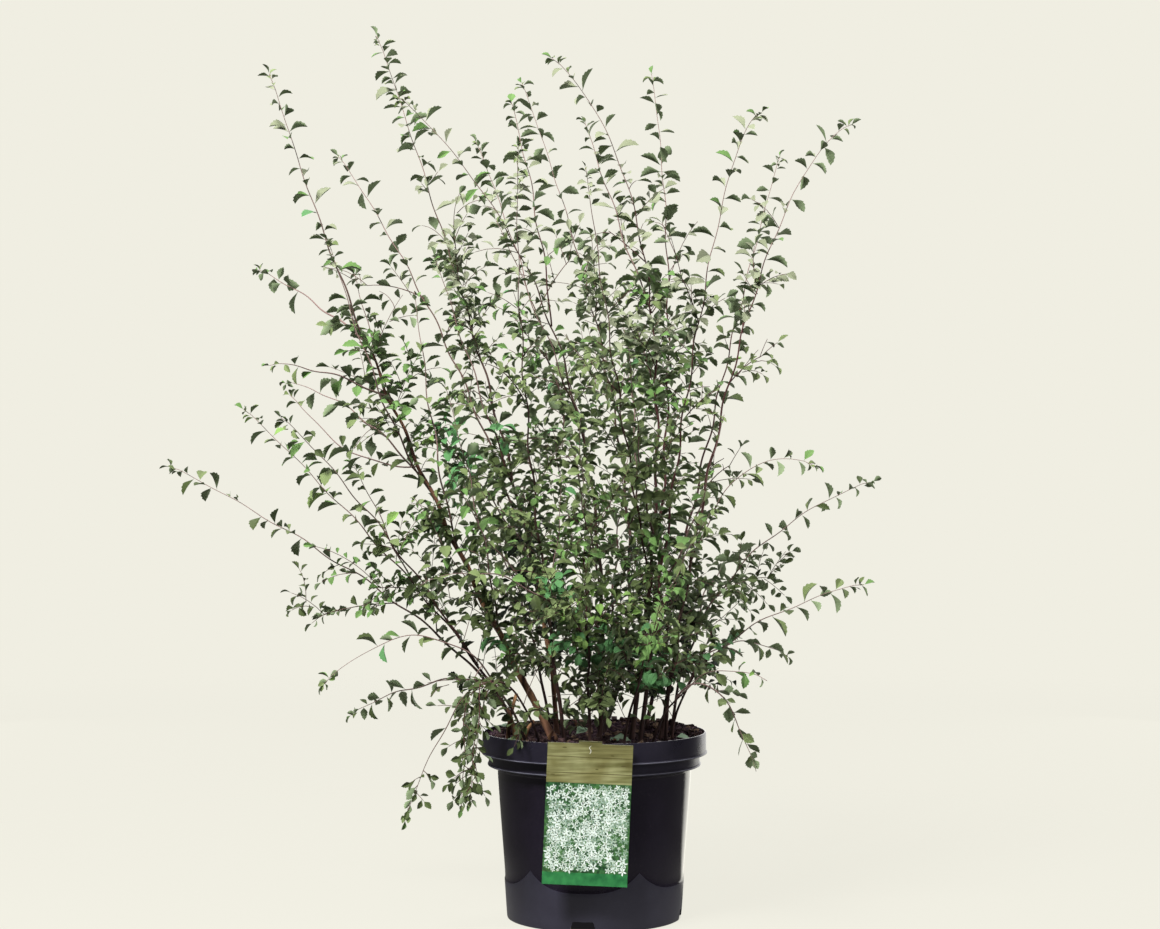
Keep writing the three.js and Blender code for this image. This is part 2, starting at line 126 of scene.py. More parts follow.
# Canes that stand in the soil: name, foot, the point that the cane bends towards, tip, thickness at the foot,
# and the share of the cane that is bare.
CANES = [
    ("left_thick", (-50, -10), (-280, -55, 660), (-388, -118, 1026), 14, 0.62),
    ("left_tallest", (-48, 38), (-50, 45, 450), (-272, 60, 1104), 10, 0.3),
    ("left_inner", (6, -34), (40, -100, 760), (-225, -195, 1000), 9, 0.2),
    ("front_upright", (-36, -56), (-100, -150, 680), (-88, -325, 920), 8, 0.18),
    ("back_upright", (10, 44), (120, 130, 480), (-95, 320, 1095), 9, 0.2),
    ("middle", (46, -20), (140, -50, 880), (-42, -100, 1060), 10, 0.18),
    ("back_tall", (60, 34), (125, 110, 740), (81, 225, 1092), 9, 0.2),
    ("right_inner", (56, -62), (140, -110, 940), (190, -175, 985), 8, 0.2),
    ("right_arching", (84, -8), (190, 25, 910), (324, 80, 1008), 9, 0.2),
    ("right_back", (66, 74), (160, 175, 660), (258, 315, 992), 8, 0.2),
    ("left_leaning", (-92, -22), (-130, -38, 340), (-425, -60, 632), 6, 0.36),
    ("left_lowest", (-96, 14), (-130, 30, 350), (-535, 60, 564), 6, 0.3),
    ("left_front_low", (-84, -50), (-165, -90, 440), (-318, -125, 316), 5, 0.3),
    ("over_rim_left", (-66, -76), (-125, -125, 420), (-222, -165, 162), 5, 0.4),
    ("right_front_low", (88, -46), (112, -80, 610), (252, -145, 575), 6, 0.3),
    ("right_back_low", (98, 22), (115, 55, 450), (352, 100, 546), 6, 0.3),
    ("right_low", (98, -14), (100, -40, 355), (318, -80, 422), 5, 0.35),
    ("right_front_short", (68, -84), (110, -125, 345), (192, -200, 322), 5, 0.4),
    ("front_low", (-6, -88), (-10, -150, 500), (-20, -410, 620), 6, 0.34),
    ("back_low", (14, 92), (30, 150, 520), (60, 415, 640), 6, 0.3),
    ("front_right_low", (34, -92), (70, -150, 410), (130, -355, 520), 5, 0.3),
    ("back_left_low", (-56, 80), (-90, 140, 450), (-200, 390, 560), 6, 0.3),
]

# Forks: name, the cane it leaves, how far along that cane's bare stem, bend, tip, and thickness at its start.
FORKS = [
    ("left_thick_high", "left_thick", 0.97, (-340, 0, 770), (-425, 65, 820), 4),
    ("left_thick_front", "left_thick", 0.84, (-330, -130, 690), (-375, -205, 690), 4),
    ("left_thick_back", "left_thick", 0.62, (-290, 40, 650), (-402, 160, 680), 4),
    ("left_tallest_back", "left_tallest", 0.9, (-150, 120, 700), (-342, 245, 985), 5),
    ("left_inner_back", "left_inner", 0.92, (-40, 0, 700), (-150, 110, 985), 4),
    ("middle_front", "middle", 0.92, (30, -200, 620), (-10, -330, 895), 4),
    ("left_leaning_front", "left_leaning", 0.9, (-270, -110, 520), (-362, -200, 620), 4),
    ("left_lowest_back", "left_lowest", 0.85, (-210, 90, 300), (-312, 150, 246), 4),
    ("right_low_back", "right_low", 0.8, (150, 40, 370), (246, 120, 325), 4),
    ("over_rim_right", "right_front_short", 0.8, (140, -125, 350), (190, -135, 216), 4),
    ("front_low_left", "front_low", 0.8, (-100, -200, 470), (-190, -330, 440), 4),
    ("right_back_low_back", "right_back_low", 0.8, (150, 180, 440), (215, 320, 450), 4),
]

# Finer growth, which the solids leave out
FINE_SEED = 500

# How full each spray is, where it isn't 1
FULLNESS = {
    "right_arching": 0.25, "right_back": 0.3, "back_tall": 0.65, "back_upright": 0.8, "right_inner": 0.7,
    "left_thick": 0.7, "left_tallest": 1.0, "left_inner": 1.1, "left_lowest": 0.8, "left_thick_back": 0.6,
    "left_thick_front": 0.6, "left_thick_high": 0.6, "left_leaning": 0.8, "left_leaning_front": 0.7,
    "over_rim_left": 0.8, "middle": 1.2, "right_low": 0.9, "right_front_short": 0.6, "right_low_back": 0.6,
    "right_back_low": 1.1, "left_front_low": 0.6, "over_rim_right": 0.15,
}
# Sprays that lean to the dark tints, and how far
DULLNESS = {
    "over_rim_left": 0.62, "left_lowest": 0.36, "left_leaning_front": 0.36, "right_back_low": 0.36,
    "right_low": 0.36, "right_front_low": 0.36,
}
# Sprays that hang over the rim in short dense shoots of small leaves, and sprays of open, flat leaves
HANGING = ["over_rim_left"]
OPEN_LEAVED = ["over_rim_right"]
# Where the crown is thinner or thicker, seen from the front: across, height, reach, and how full it is.
# The first row that reaches a place counts.
FULL_PLACES = [
    (-262, 1083, 26, 1.8), (-43, 1032, 28, 1.8), (-246, 1032, 34, 2.0), (-398, 1032, 22, 0.5),
    (-398, 982, 30, 1.8), (-246, 982, 22, 2.2), (-198, 838, 26, 1.6), (-195, 931, 24, 1.8),
    (-144, 931, 24, 1.2), (-144, 880, 24, 1.8), (-195, 885, 28, 0.2), (-347, 880, 24, 0.7),
    (-246, 931, 26, 3.0), (-246, 881, 22, 1.6), (-296, 880, 26, 0.2), (-94, 985, 40, 1.3),
    (-120, 930, 40, 3.6), (7, 931, 24, 1.6), (-68, 880, 34, 3.2), (260, 931, 26, 0.5), (210, 931, 26, 0.6),
    (260, 880, 26, 0.6), (210, 880, 30, 1.6), (108, 880, 24, 1.4), (83, 930, 30, 1.8), (-43, 985, 24, 0.7),
    (7, 779, 24, 2.6), (7, 830, 24, 0.8), (7, 868, 30, 0.5), (-43, 830, 28, 0.6), (58, 830, 24, 0.8),
    (58, 880, 28, 1.6), (108, 830, 26, 0.55), (159, 830, 26, 0.6), (-144, 830, 22, 3.0),
    (-170, 828, 26, 1.6), (-94, 830, 22, 0.8), (-347, 830, 24, 1.0), (-43, 779, 28, 0.5),
    (-94, 779, 22, 0.55), (-296, 830, 24, 0.35), (-295, 795, 34, 0.3), (-246, 779, 22, 0.3),
    (-347, 776, 30, 0.4), (-335, 728, 36, 1.8), (-246, 728, 24, 2.5), (-195, 732, 30, 0.5),
    (-205, 774, 30, 0.6), (-145, 770, 34, 3.0), (-145, 728, 28, 3.0), (-43, 728, 24, 0.6),
    (-195, 678, 24, 1.4), (-145, 678, 24, 0.3), (-94, 678, 26, 2.2), (58, 779, 26, 2.0), (8, 778, 26, 1.8),
    (8, 725, 34, 1.4), (108, 779, 26, 1.2), (108, 728, 28, 2.0), (158, 775, 26, 1.6), (158, 725, 30, 1.1),
    (210, 779, 28, 1.4), (210, 728, 30, 0.3), (159, 678, 24, 0.5), (108, 690, 26, 1.9), (108, 640, 30, 1.5),
    (-398, 678, 24, 0.4), (-144, 627, 24, 0.4), (-345, 676, 30, 0.2), (-246, 678, 26, 3.6),
    (-246, 628, 24, 1.8), (-347, 627, 26, 0.05), (-296, 627, 22, 0.6), (-195, 628, 32, 1.9),
    (-398, 577, 24, 1.6), (-347, 577, 26, 1.1), (-296, 577, 26, 1.8), (-246, 577, 24, 0.4),
    (-144, 577, 34, 2.0), (-94, 577, 24, 2.0), (-94, 627, 22, 1.4), (-43, 602, 36, 0.95), (8, 627, 24, 1.5),
    (8, 575, 30, 3.0), (162, 625, 36, 0.6), (159, 577, 26, 0.45), (108, 577, 24, 0.8), (108, 526, 26, 1.8),
    (-398, 526, 24, 0.1), (-448, 526, 24, 0.3), (-398, 475, 22, 1.5), (-347, 526, 24, 3.0),
    (-296, 526, 24, 0.7), (-246, 526, 24, 0.5), (-450, 475, 26, 2.6), (-347, 472, 22, 0.3),
    (-232, 475, 26, 3.0), (-195, 475, 28, 2.3), (-195, 425, 24, 1.4), (-144, 425, 24, 1.4),
    (-94, 475, 26, 1.8), (-43, 526, 34, 1.6), (-43, 475, 36, 2.2), (-43, 425, 36, 1.9),
    (-246, 425, 22, 0.7), (-290, 430, 34, 0.85), (-296, 374, 28, 2.4), (-246, 374, 24, 0.6),
    (-195, 374, 26, 0.8), (-94, 374, 28, 2.0), (-296, 324, 28, 0.15), (-246, 324, 26, 0.1),
    (-195, 324, 26, 0.3), (-144, 327, 28, 0.2), (-195, 275, 28, 0.5), (-197, 222, 30, 0.3),
    (-232, 205, 30, 0.2), (-152, 238, 32, 1.2), (-158, 176, 30, 1.6), (-94, 280, 22, 0.2),
    (-66, 290, 20, 0.1), (7, 290, 36, 2.2), (57, 262, 22, 0.15), (159, 278, 20, 1.6), (117, 268, 32, 0.0),
    (165, 345, 40, 0.6), (215, 345, 44, 0.85), (172, 222, 28, 0.7), (222, 270, 36, 0.0),
]
# Where the plant is seen from
VIEWING_PLACE = (-18, -3000, 571)
# Boughs that the solids leave out: the cane that each leaves, how far along it, bend, tip and thickness
FILLERS = [
    ("left_thick", 0.18, (-120, -95, 430), (-178, -118, 655), 4),
    ("left_thick", 0.30, (-190, -70, 520), (-222, -60, 775), 4),
    ("left_thick", 0.40, (-250, -110, 600), (-318, -140, 830), 4),
    ("left_thick", 0.52, (-270, -60, 690), (-298, -25, 800), 3),
    ("left_thick", 0.44, (-300, -60, 560), (-372, -40, 650), 3),
    ("left_tallest", 0.34, (-125, -5, 600), (-196, -30, 820), 4),
    ("left_tallest", 0.26, (-110, -20, 500), (-190, -50, 610), 4),
    ("left_inner", 0.45, (-20, -170, 640), (-112, -190, 850), 3),
    ("left_inner", 0.62, (-60, -150, 840), (-98, -120, 1000), 3),
    ("middle", 0.30, (60, -150, 520), (40, -210, 700), 4),
    ("middle", 0.62, (30, -90, 860), (-8, -60, 985), 3),
    ("front_upright", 0.25, (-120, -150, 450), (-170, -200, 560), 4),
    ("left_leaning", 0.45, (-240, -60, 450), (-290, -90, 560), 3),
    ("right_inner", 0.26, (120, -130, 470), (150, -190, 620), 4),
    ("back_upright", 0.3, (70, 120, 520), (40, 190, 760), 4),
    ("over_rim_left", 0.44, (-136, -150, 320), (-148, -168, 186), 2),
    ("over_rim_left", 0.50, (-156, -140, 300), (-160, -150, 176), 2),
    ("over_rim_left", 0.38, (-130, -130, 320), (-142, -146, 236), 2),
    ("over_rim_left", 0.34, (-140, -104, 320), (-156, -112, 232), 2),
    ("left_front_low", 0.36, (-150, -70, 310), (-160, -76, 256), 2),
    ("front_upright", 0.2, (-52, -150, 400), (-40, -180, 545), 3),
    ("left_inner", 0.16, (-14, -120, 400), (-34, -140, 520), 3),
    ("left_thick", 0.14, (-150, -56, 410), (-214, -84, 520), 3),
]
# Where shoots are brighter, as painted light: a place and its reach
LIT_PLACES = [
    ((-198, 45, 838), 30),
    ((20, -170, 385), 75), ((70, -160, 360), 50), ((-245, -90, 490), 45), ((-190, -60, 600), 45),
    ((-165, -80, 585), 35), ((-225, 0, 730), 40), ((30, -200, 560), 45), ((80, -120, 640), 40),
]
# Tufts of bigger, bluer leaves: across and height seen from the front, and reach
EMERALD_PLACES = [
    (-88, 359, 22), (-119, 335, 20), (-67, 335, 20), (46, 298, 20), (73, 279, 16), (95, 289, 16),
    (-196, 839, 20), (-212, 612, 20), (-176, 590, 20), (-170, 560, 16),
]
# A spray's stem
WOBBLE = 2.2
WAVER_LENGTH = 95
SIDE_WAVER = 0.73
LINE_STEP = 6.0
TIP_NOD = 0.2
TIP_RUN_ON = 14
TIP_RUN_ONS = {"left_tallest": 27, "left_thick": 26}
STEM_TIP_RADIUS = 0.36
STEM_SLIMNESS = 0.68
STEM_SIDES = 6
THIN_TAPER = 1.6
STOUT_TAPER = 1.5
STOUT_RADIUS = 6
FOOT_FLARE = 0.4
FOOT_FLARE_LENGTH = 9
CANE_SUNK = 3
STOUT_CANE_RADIUS = 5
STOUT_CANE_SIDES = 14
THIN_CANE_SIDES = 10
RIDGE_RISE = 0.05
RIDGE_DRIFT = 0.045
RIDGE_PITCH = 0.37
NODE_SWELL = 0.09
NODE_PITCH = 0.62
TAN_CANES = ["left_thick", "left_tallest"]
YOUNG_WOOD = 190
RED_TWIG_SHARE = 0.6
# Single leaves and short shoots along a stem
FIRST_NODE = 8.0
NODE_SPACING = 11.4
NODE_PLAY = (0.75, 1.25)
CLOSE_TIP = 120
CLOSEST_NODES = 0.6
SHOOT_NODE_SHARE = 0.72
SHOOTLESS_TIP = 170
SHOOTY_FROM_TIP = 420
SHOOT_SHORTEST = 14
SHOOT_LONGEST = 56
# The power that makes most shoots short
SHORT_SHOOTS = 1.4
SHOOT_LEANS = (42, 70)
SECOND_SHOOT_TURN = 2.4
SECOND_LEAF_TURN = 1.9
SHOOT_LEAF_SPACING = 7.9
SHOOT_BLADE_SHARE = 0.9
HANGING_SHOOT_SHARE = 0.6
HANGING_AGE = 1.5
HANGING_SPAN = (10, 40)
SINGLE_BLADE = 28
NODE_LEAF_SIZES = (0.66, 1.18)
OPEN_LEAF_SIZES = (0.62, 0.8)
BLADE_AT_TIP = 15
SMALL_LEAF_TIP = 55
TIP_LEAF_LEAN = 0.2
TIP_TUFT = 3
TUFT_LEAF_SIZES = (0.55, 0.95)
TUFT_LEANS = (0.3, 1.2)
# Shoots on the bare part of a cane
LOW_SHOOT_START = 0.3
LOW_SHOOT_STARTS = {"front_upright": 0.1, "left_inner": 0.1, "front_low": 0.12, "middle": 0.18}
LOW_SHOOT_SPACING = 17
LOW_SHOOT_PLAY = (0.7, 1.3)
LOW_SHOOT_LENGTHS = (30, 110)
LOW_SHOOT_LEANS = (44, 66)
LOW_SHOOT_ROOM = 70
LOW_SHOOT_FORKS = (0.35, 0.55, 0.75)
# Side twigs, the twigs that carry them on, and the forks of both
STRONG_RADII = (0.8, 0.48)
FINE_RADII = (0.48, 0.3)
TWIG_SIDES = 4
TWIG_STEP = 14
TWIG_SAG = 0.06
TWIG_JUDGED_AT = 0.6
LEAST_TWIG = 0.4
TWIG_LEAF_SPACING = 8.8
TWIG_LEAF_PLAY = (0.8, 1.25)
TWIG_LEAF_SIZES = (0.72, 1.08)
TWIG_FORKS = (0.22, 0.4, 0.58, 0.76, 0.93)
SIDE_PLAY = 1.1
FIRST_LEAF_PLAY = (0.5, 1.0)
LAST_LEAF_SHARE = 0.8
LEAFLESS_END = 0.3
END_LEAF_SIZE = 0.85
END_LEAF_LEANS = (4, 24)
CARRY_SHORTEST = 40
CARRY_LONGEST = 210
CARRY_RISE = 0.55
CARRY_PLAY = 0.7
CARRY_BLADE_SHARE = 0.85
CARRY_FORKS = (0.15, 0.35, 0.55)
FORKED_SHORTEST = 40
FORKLESS_SHARE = 0.2
FORK_LENGTHS = (22, 52)
FORK_LEAN = 48 * DEGREE
FILLER_FULLNESS = 0.6
# How far growth may pass the spray's solid, and a filler's own curve
BOX_SPARE = 9
FILLER_SPARE = 45
# Leaves
BLADE_LONGEST = 26.4
HANGING_BLADE_SHARE = 0.95
FINE_LEAF_ROLL = 2.4
LEAF_TWIST = 0.9
LEAF_MIDDLE = 0.6
LEAF_TIP_AHEAD = 0.8
LEAF_TIP_DOWN = 0.45
LOW_LEAF_SHARE = 0.8
LOW_LEAF_HEIGHTS = (480, 880)
# Leaves on boughs that reach towards the front are smaller
NEAR_BLADE_SHARE = 0.68
NEAR_SPAN = (120, 330)
EMERALD_BLADE = 1.25
LEAVES_IN_PIECE = 3000
# Where tints turn darker, duller, greyer or brighter. Darker deep in the crown and low in its middle is
# painted shade.
BRIGHT_SPREAD = 0.35
LIT_PLACE_LIFT = 0.38
CROWN_CENTRE = -40
CROWN_REACH = 300
DEPTH_LIFT = 0.25
# Painted shade: below this height and behind this front, tints drop darker
DARK_BASE_TOP = 470
DARK_BASE_FRONT = -20
DARK_BASE_DROP = 0.4
SHADE_FRONT = 15
SHADE_DEPTH = 0.55
SHADE_SHARE = 0.6
DULL_FRONT = -240
# Painted light from above: between these heights, deep, mid and fresh tints turn to the paler, greyer sage,
# and young ones to fresh
SAGE_HEIGHTS = (600, 940)
SAGE_FROM_TIP = (0, 40)
HIGH_YOUNG_FADE = 1.4
HIGH_FRESH_FADE = 0.5
EMERALD_SHARE = 0.12
EMERALD_BACK = 30
OPEN_DEEP_SHARE = 0.4
FAR_FROM_TIP = 1000


# --------------------------------------------------
# Small tools
def seeded(seed):
    """Even draws from 0 to 1, the same ones as the solids' rule makes."""
    state = [seed]

    def draw():
        state[0] = (state[0] * 1664525 + 1013904223) % 2**32
        return state[0] / 2**32

    return draw


def any_turn(draw):
    return draw() * FULL_TURN


def any_way(draw):
    """A small push in any direction."""
    return np.array([draw() - 0.5, draw() - 0.5, draw() - 0.5])


def blend(low, high, share):
    return low + (high - low) * share


def unit(vector):
    return vector / np.linalg.norm(vector)


def turned(vector, axis, angle):
    """The vector turned about a unit axis."""
    return (
        vector * math.cos(angle)
        + np.cross(axis, vector) * math.sin(angle)
        + axis * (axis @ vector) * (1 - math.cos(angle))
    )


def smooth_step(value, low, high):
    share = np.clip((value - low) / (high - low), 0, 1)
    return share * share * (3 - 2 * share)


class Curve:
    """A cane's curve: from its start towards a bend and on to its end, measured by length."""

    def __init__(self, start, bend, end):
        self.corners = np.array([start, bend, end], float)
        self.lengths = np.zeros(ARC_STEPS + 1)
        points = self.points(ARC_STEPS)
        self.lengths[1:] = np.cumsum(np.linalg.norm(np.diff(points, axis=0), axis=1))
        self.length = self.lengths[-1]

    def point(self, t):
        a, b, c = self.corners
        return a * (1 - t) ** 2 + b * 2 * t * (1 - t) + c * t * t

    def points(self, steps):
        return np.array([self.point(i / steps) for i in range(steps + 1)])

    def share_at(self, share):
        grid = np.linspace(0, 1, ARC_STEPS + 1)
        return float(np.interp(share * self.length, self.lengths, grid))

    def point_at(self, share):
        return self.point(self.share_at(share))

    def tangent_at(self, share):
        a, b, c = self.corners
        t = self.share_at(share)
        return unit((b - a) * (1 - t) + (c - b) * t)

    def stretch(self, low, high):
        a, b, c = self.corners

        def blossom(p, q):
            return a * (1 - p) * (1 - q) + b * (p * (1 - q) + q * (1 - p)) + c * p * q

        return Curve(blossom(low, low), blossom(low, high), blossom(high, high))

    def pace_at(self, share):
        a, b, c = self.corners
        return 2 * np.linalg.norm((b - a) * (1 - share) + (c - b) * share)


# --------------------------------------------------
# The growing rule of the solids
def plan_cane(row):
    name, foot, bend, tip, thickness, bare = row
    whole = Curve((*foot, SOIL_TOP + CLEARANCE), bend, tip)
    foot_radius = thickness / 2
    start_radius = blend(foot_radius, TIP_RADIUS, bare)
    stem = whole.stretch(0, bare)
    curve = whole.stretch(bare + CLEARANCE / whole.pace_at(bare), 1)
    return {
        "name": name, "whole": whole, "bare": bare, "stem": stem, "curve": curve,
        "foot_radius": foot_radius, "start_radius": start_radius,
    }


def plan_fork(row, canes):
    name, parent_name, place, bend, tip, thickness = row
    parent = next(cane for cane in canes if cane["name"] == parent_name)
    root = parent["stem"].point_at(place)
    heading = unit(np.array(bend, float) - root)
    slant = math.acos(float(np.clip(heading @ parent["stem"].tangent_at(place), -1, 1)))
    parent_radius = blend(parent["foot_radius"], parent["start_radius"], place)
    start_radius = thickness / 2
    clear = parent_radius + CLEARANCE + start_radius * math.cos(slant)
    start = root + heading * clear / math.sin(slant)
    return {
        "name": name, "root": root, "curve": Curve(start, bend, tip), "start_radius": start_radius,
    }


def clear_of_pot(points):
    radius = np.hypot(points[:, 0], points[:, 1])
    height = points[:, 2]
    over_soil = (radius < UPPER_BAND_RADIUS - 2 * POT_WALL) & (height > SOIL_TOP + 2 * POT_WALL)
    over_rim = height > POT_HEIGHT + 2 * POT_WALL
    outside = radius > UPPER_BAND_RADIUS + 2 * POT_WALL
    return over_soil | over_rim | outside


class Spaces:
    """Tells whether points lie nearer their own limb's path than any other's."""

    def __init__(self, limbs):
        paths = [curve.points(PATH_STEPS) for curve, _ in limbs]
        self.radii = np.array([radius for _, radius in limbs])
        self.starts = np.array([path[:-1] for path in paths])
        self.runs = np.array([path[1:] - path[:-1] for path in paths])
        self.squares = (self.runs**2).sum(2)

    def distances(self, points):
        offset = points[:, None, None, :] - self.starts
        share = np.clip((offset * self.runs).sum(3) / self.squares, 0, 1)
        gaps = offset - self.runs * share[..., None]
        return np.sqrt((gaps**2).sum(3)).min(2)

    def own(self, points, index):
        points = np.atleast_2d(points)
        if not clear_of_pot(points).all():
            return False
        away = self.distances(points)
        own = away[:, index : index + 1]
        room = away > own + SPACE_MARGIN + self.radii
        room[:, index] = True
        return bool(room.all())


def leaning(along, azimuth, lean):
    """A unit direction that leans away from a limb's own direction, turned about it by an azimuth."""
    outward = turned(unit(np.cross(along, BACKWARD)), along, azimuth)
    return along * math.cos(lean) + outward * math.sin(lean)


def leaf_frame(along, direction, roll, roll_share):
    across = unit(np.cross(direction, along + UP + roll * roll_share))
    return across, np.cross(across, direction)


def leaf_fits(place, along, azimuth, length, roll, spaces, index):
    """Whether the solids' leaf at a place on a twig grows, at one of its leans."""
    for lean in [0] if azimuth is None else LEAF_LEANS:
        direction = leaning(along, azimuth or 0, lean)
        across, face = leaf_frame(along, direction, roll, LEAF_ROLL)
        root = place - direction * LEAF_SINK
        side = across * LEAF_WIDTH_RATIO / 2 + face * LEAF_FOLD
        other_side = across * -LEAF_WIDTH_RATIO / 2 + face * LEAF_FOLD
        middle = direction * LEAF_WIDEST_AT
        reach = [direction - face * LEAF_DROOP, middle + side, middle + other_side, middle]
        if spaces.own(root + np.array(reach) * length, index):
            return True
    return False


def twig_end(place, along, azimuth, longest, roll, spaces, index):
    """The end of the solids' side twig, or None where even a short one has no room."""
    for reach in TWIG_REACHES:
        length = longest * reach
        end = place + leaning(along, azimuth, TWIG_LEAN) * length + along * length * TWIG_LIFT
        heading = unit(end - place)
        if spaces.own(end, index) and leaf_fits(end, heading, None, LEAF_LONGEST, roll, spaces, index):
            return end
    return None


def shoots_of(curve, spaces, index, seed):
    """The side twigs of one spray as starts and ends, in the solids' own order of draws."""
    draw = seeded(seed)
    twigs = []
    azimuth = any_turn(draw)
    reached = FIRST_SHOOT
    while reached < curve.length - LEAF_SPACING / 2:
        share = reached / curve.length
        place = curve.point_at(share)
        along = curve.tangent_at(share)
        left = curve.length - reached
        rolls = [any_way(draw) for _ in range(3)]
        twig_length = blend(TWIG_SHORTEST, TWIG_LONGEST, draw())
        looseness = blend(*LOOSENESS, draw())
        end = None
        if left > LEAFY_TIP:
            end = twig_end(place, along, azimuth, twig_length, rolls[2], spaces, index)
        if end is None:
            reached += LEAF_SPACING * looseness
        else:
            twigs.append((place, end))
            reached += TWIG_SPACING * looseness
        azimuth += GOLDEN_ANGLE
    return twigs


# --------------------------------------------------
# Meshes
def ring_faces(low, high, sides, flip=False):
    """The faces between two rings of points. Rings that grow outward face down, and flipped they face up."""
    here = np.arange(sides)
    after = (here + 1) % sides
    corners = [low + here, low + after, high + after, high + here]
    if flip:
        corners = [corners[i] for i in (0, 3, 2, 1)]
    return np.stack(corners, axis=1).tolist()


class Tubes:
    """Tapering closed tubes gathered into one mesh."""

    def __init__(self):
        self.points, self.faces, self.kinds, self.count = [], [], [], 0

    def add(self, line, radii, sides, kind=0, relief=None):
        """One tube along a line. kind is its finish, or one finish for each step of the line."""
        line = np.asarray(line, float)
        by_step = [kind] * (len(line) - 1) if isinstance(kind, int) else kind
        tangents = np.gradient(line, axis=0)
        tangents /= np.linalg.norm(tangents, axis=1)[:, None]
        across = unit(np.cross(tangents[0], BACKWARD if abs(tangents[0][1]) < 0.9 else UP))
        rings = []
        angles = np.arange(sides) * FULL_TURN / sides
        for i, tangent in enumerate(tangents):
            across = unit(across - tangent * (across @ tangent))
            other = np.cross(tangent, across)
            reach = radii[i] * (np.ones(sides) if relief is None else relief[i])
            rings.append(line[i] + reach[:, None] * (
                np.cos(angles)[:, None] * across + np.sin(angles)[:, None] * other))
        first, last = self.count, self.count + (len(line) - 1) * sides
        for low in range(first, last, sides):
            self.faces += ring_faces(low, low + sides, sides)
        self.faces.append(tuple(range(first, first + sides))[::-1])
        self.faces.append(tuple(range(last, last + sides)))
        self.kinds += [kind for kind in by_step for _ in range(sides)] + [by_step[0], by_step[-1]]
        self.points.append(np.concatenate(rings))
        self.count = last + sides

    def mesh(self, name, materials):
        return make_piece(name, np.concatenate(self.points), self.faces, materials, self.kinds)


def make_piece(name, points, faces, materials, kinds=None, smooth=True, sharp=None):
    """A mesh object from points in millimetres. sharp tells which edges stay crisp."""
    mesh = bpy.data.meshes.new(name)
    mesh.from_pydata((np.asarray(points, float) * MM).tolist(), [], faces)
    for material in materials:
        mesh.materials.append(material)
    if kinds is not None:
        mesh.polygons.foreach_set("material_index", np.asarray(kinds, np.int32))
    mesh.polygons.foreach_set("use_smooth", np.full(len(mesh.polygons), smooth))
    if sharp is not None:
        ends = np.zeros(len(mesh.edges) * 2, np.int32)
        mesh.edges.foreach_get("vertices", ends)
        crisp = mesh.attributes.new("sharp_edge", "BOOLEAN", "EDGE")
        crisp.data.foreach_set("value", sharp(ends.reshape(-1, 2)))
    mesh.validate()
    mesh.update()
    piece = bpy.data.objects.new(name, mesh)
    bpy.context.scene.collection.objects.link(piece)
    return piece


def settle(piece, nodes=()):
    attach(piece, "root")
    if nodes:
        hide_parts(*nodes)
    return piece


# A leaf's outline on one side, as shares of its length along and across: stalk, wedge foot and coarse teeth
LEAF_OUTLINE = [
    (0.12, 0.014), (0.29, 0.13), (0.44, 0.235), (0.56, 0.285), (0.59, 0.235),
    (0.71, 0.245), (0.74, 0.18), (0.855, 0.155), (0.88, 0.1),
]
LEAF_MIDRIB = [0.12, 0.29, 0.45, 0.6, 0.75, 0.88]
MIDRIB_THICKNESS = 0.02


def leaf_template():
    """Along, across and off shares of one leaf's points, its triangles and its crisp edges."""
    places = [(0, 0, 0), (1, 0, 0)]
    chains = {}
    for key, sign in (("right", 1), ("left", -1)):
        chains[key] = [0] + list(range(len(places), len(places) + len(LEAF_OUTLINE))) + [1]
        places += [(s, sign * w, 0) for s, w in LEAF_OUTLINE]
    for key, off in (("top", 0), ("bottom", -MIDRIB_THICKNESS)):
        chains[key] = [0] + list(range(len(places), len(places) + len(LEAF_MIDRIB))) + [1]
        places += [(s, 0, off) for s in LEAF_MIDRIB]
    triangles, kinds = [], []

    def zip_chains(outer, inner, kind, flip):
        """Triangles between an edge and the midrib, by whichever of the two has the nearer next point."""
        i = j = 0
        while i < len(outer) - 1 or j < len(inner) - 1:
            next_outer = places[outer[i + 1]][0] if i < len(outer) - 1 else 2
            next_inner = places[inner[j + 1]][0] if j < len(inner) - 1 else 2
            if next_outer <= next_inner:
                corners = (inner[j], outer[i], outer[i + 1])
                i += 1
            else:
                corners = (inner[j], outer[i], inner[j + 1])
                j += 1
            if len(set(corners)) == 3:
                triangles.append(corners[::-1] if flip else corners)
                kinds.append(kind)

    zip_chains(chains["right"], chains["top"], 0, False)
    zip_chains(chains["left"], chains["top"], 0, True)
    zip_chains(chains["right"], chains["bottom"], 1, True)
    zip_chains(chains["left"], chains["bottom"], 1, False)
    crisp = set()
    for key in ("right", "left", "top"):
        crisp |= {(min(a, b), max(a, b)) for a, b in zip(chains[key], chains[key][1:])}
    return np.array(places, float), np.array(triangles), np.array(kinds), crisp


LEAF_PLACES, LEAF_TRIANGLES, LEAF_KINDS, LEAF_CRISP = leaf_template()


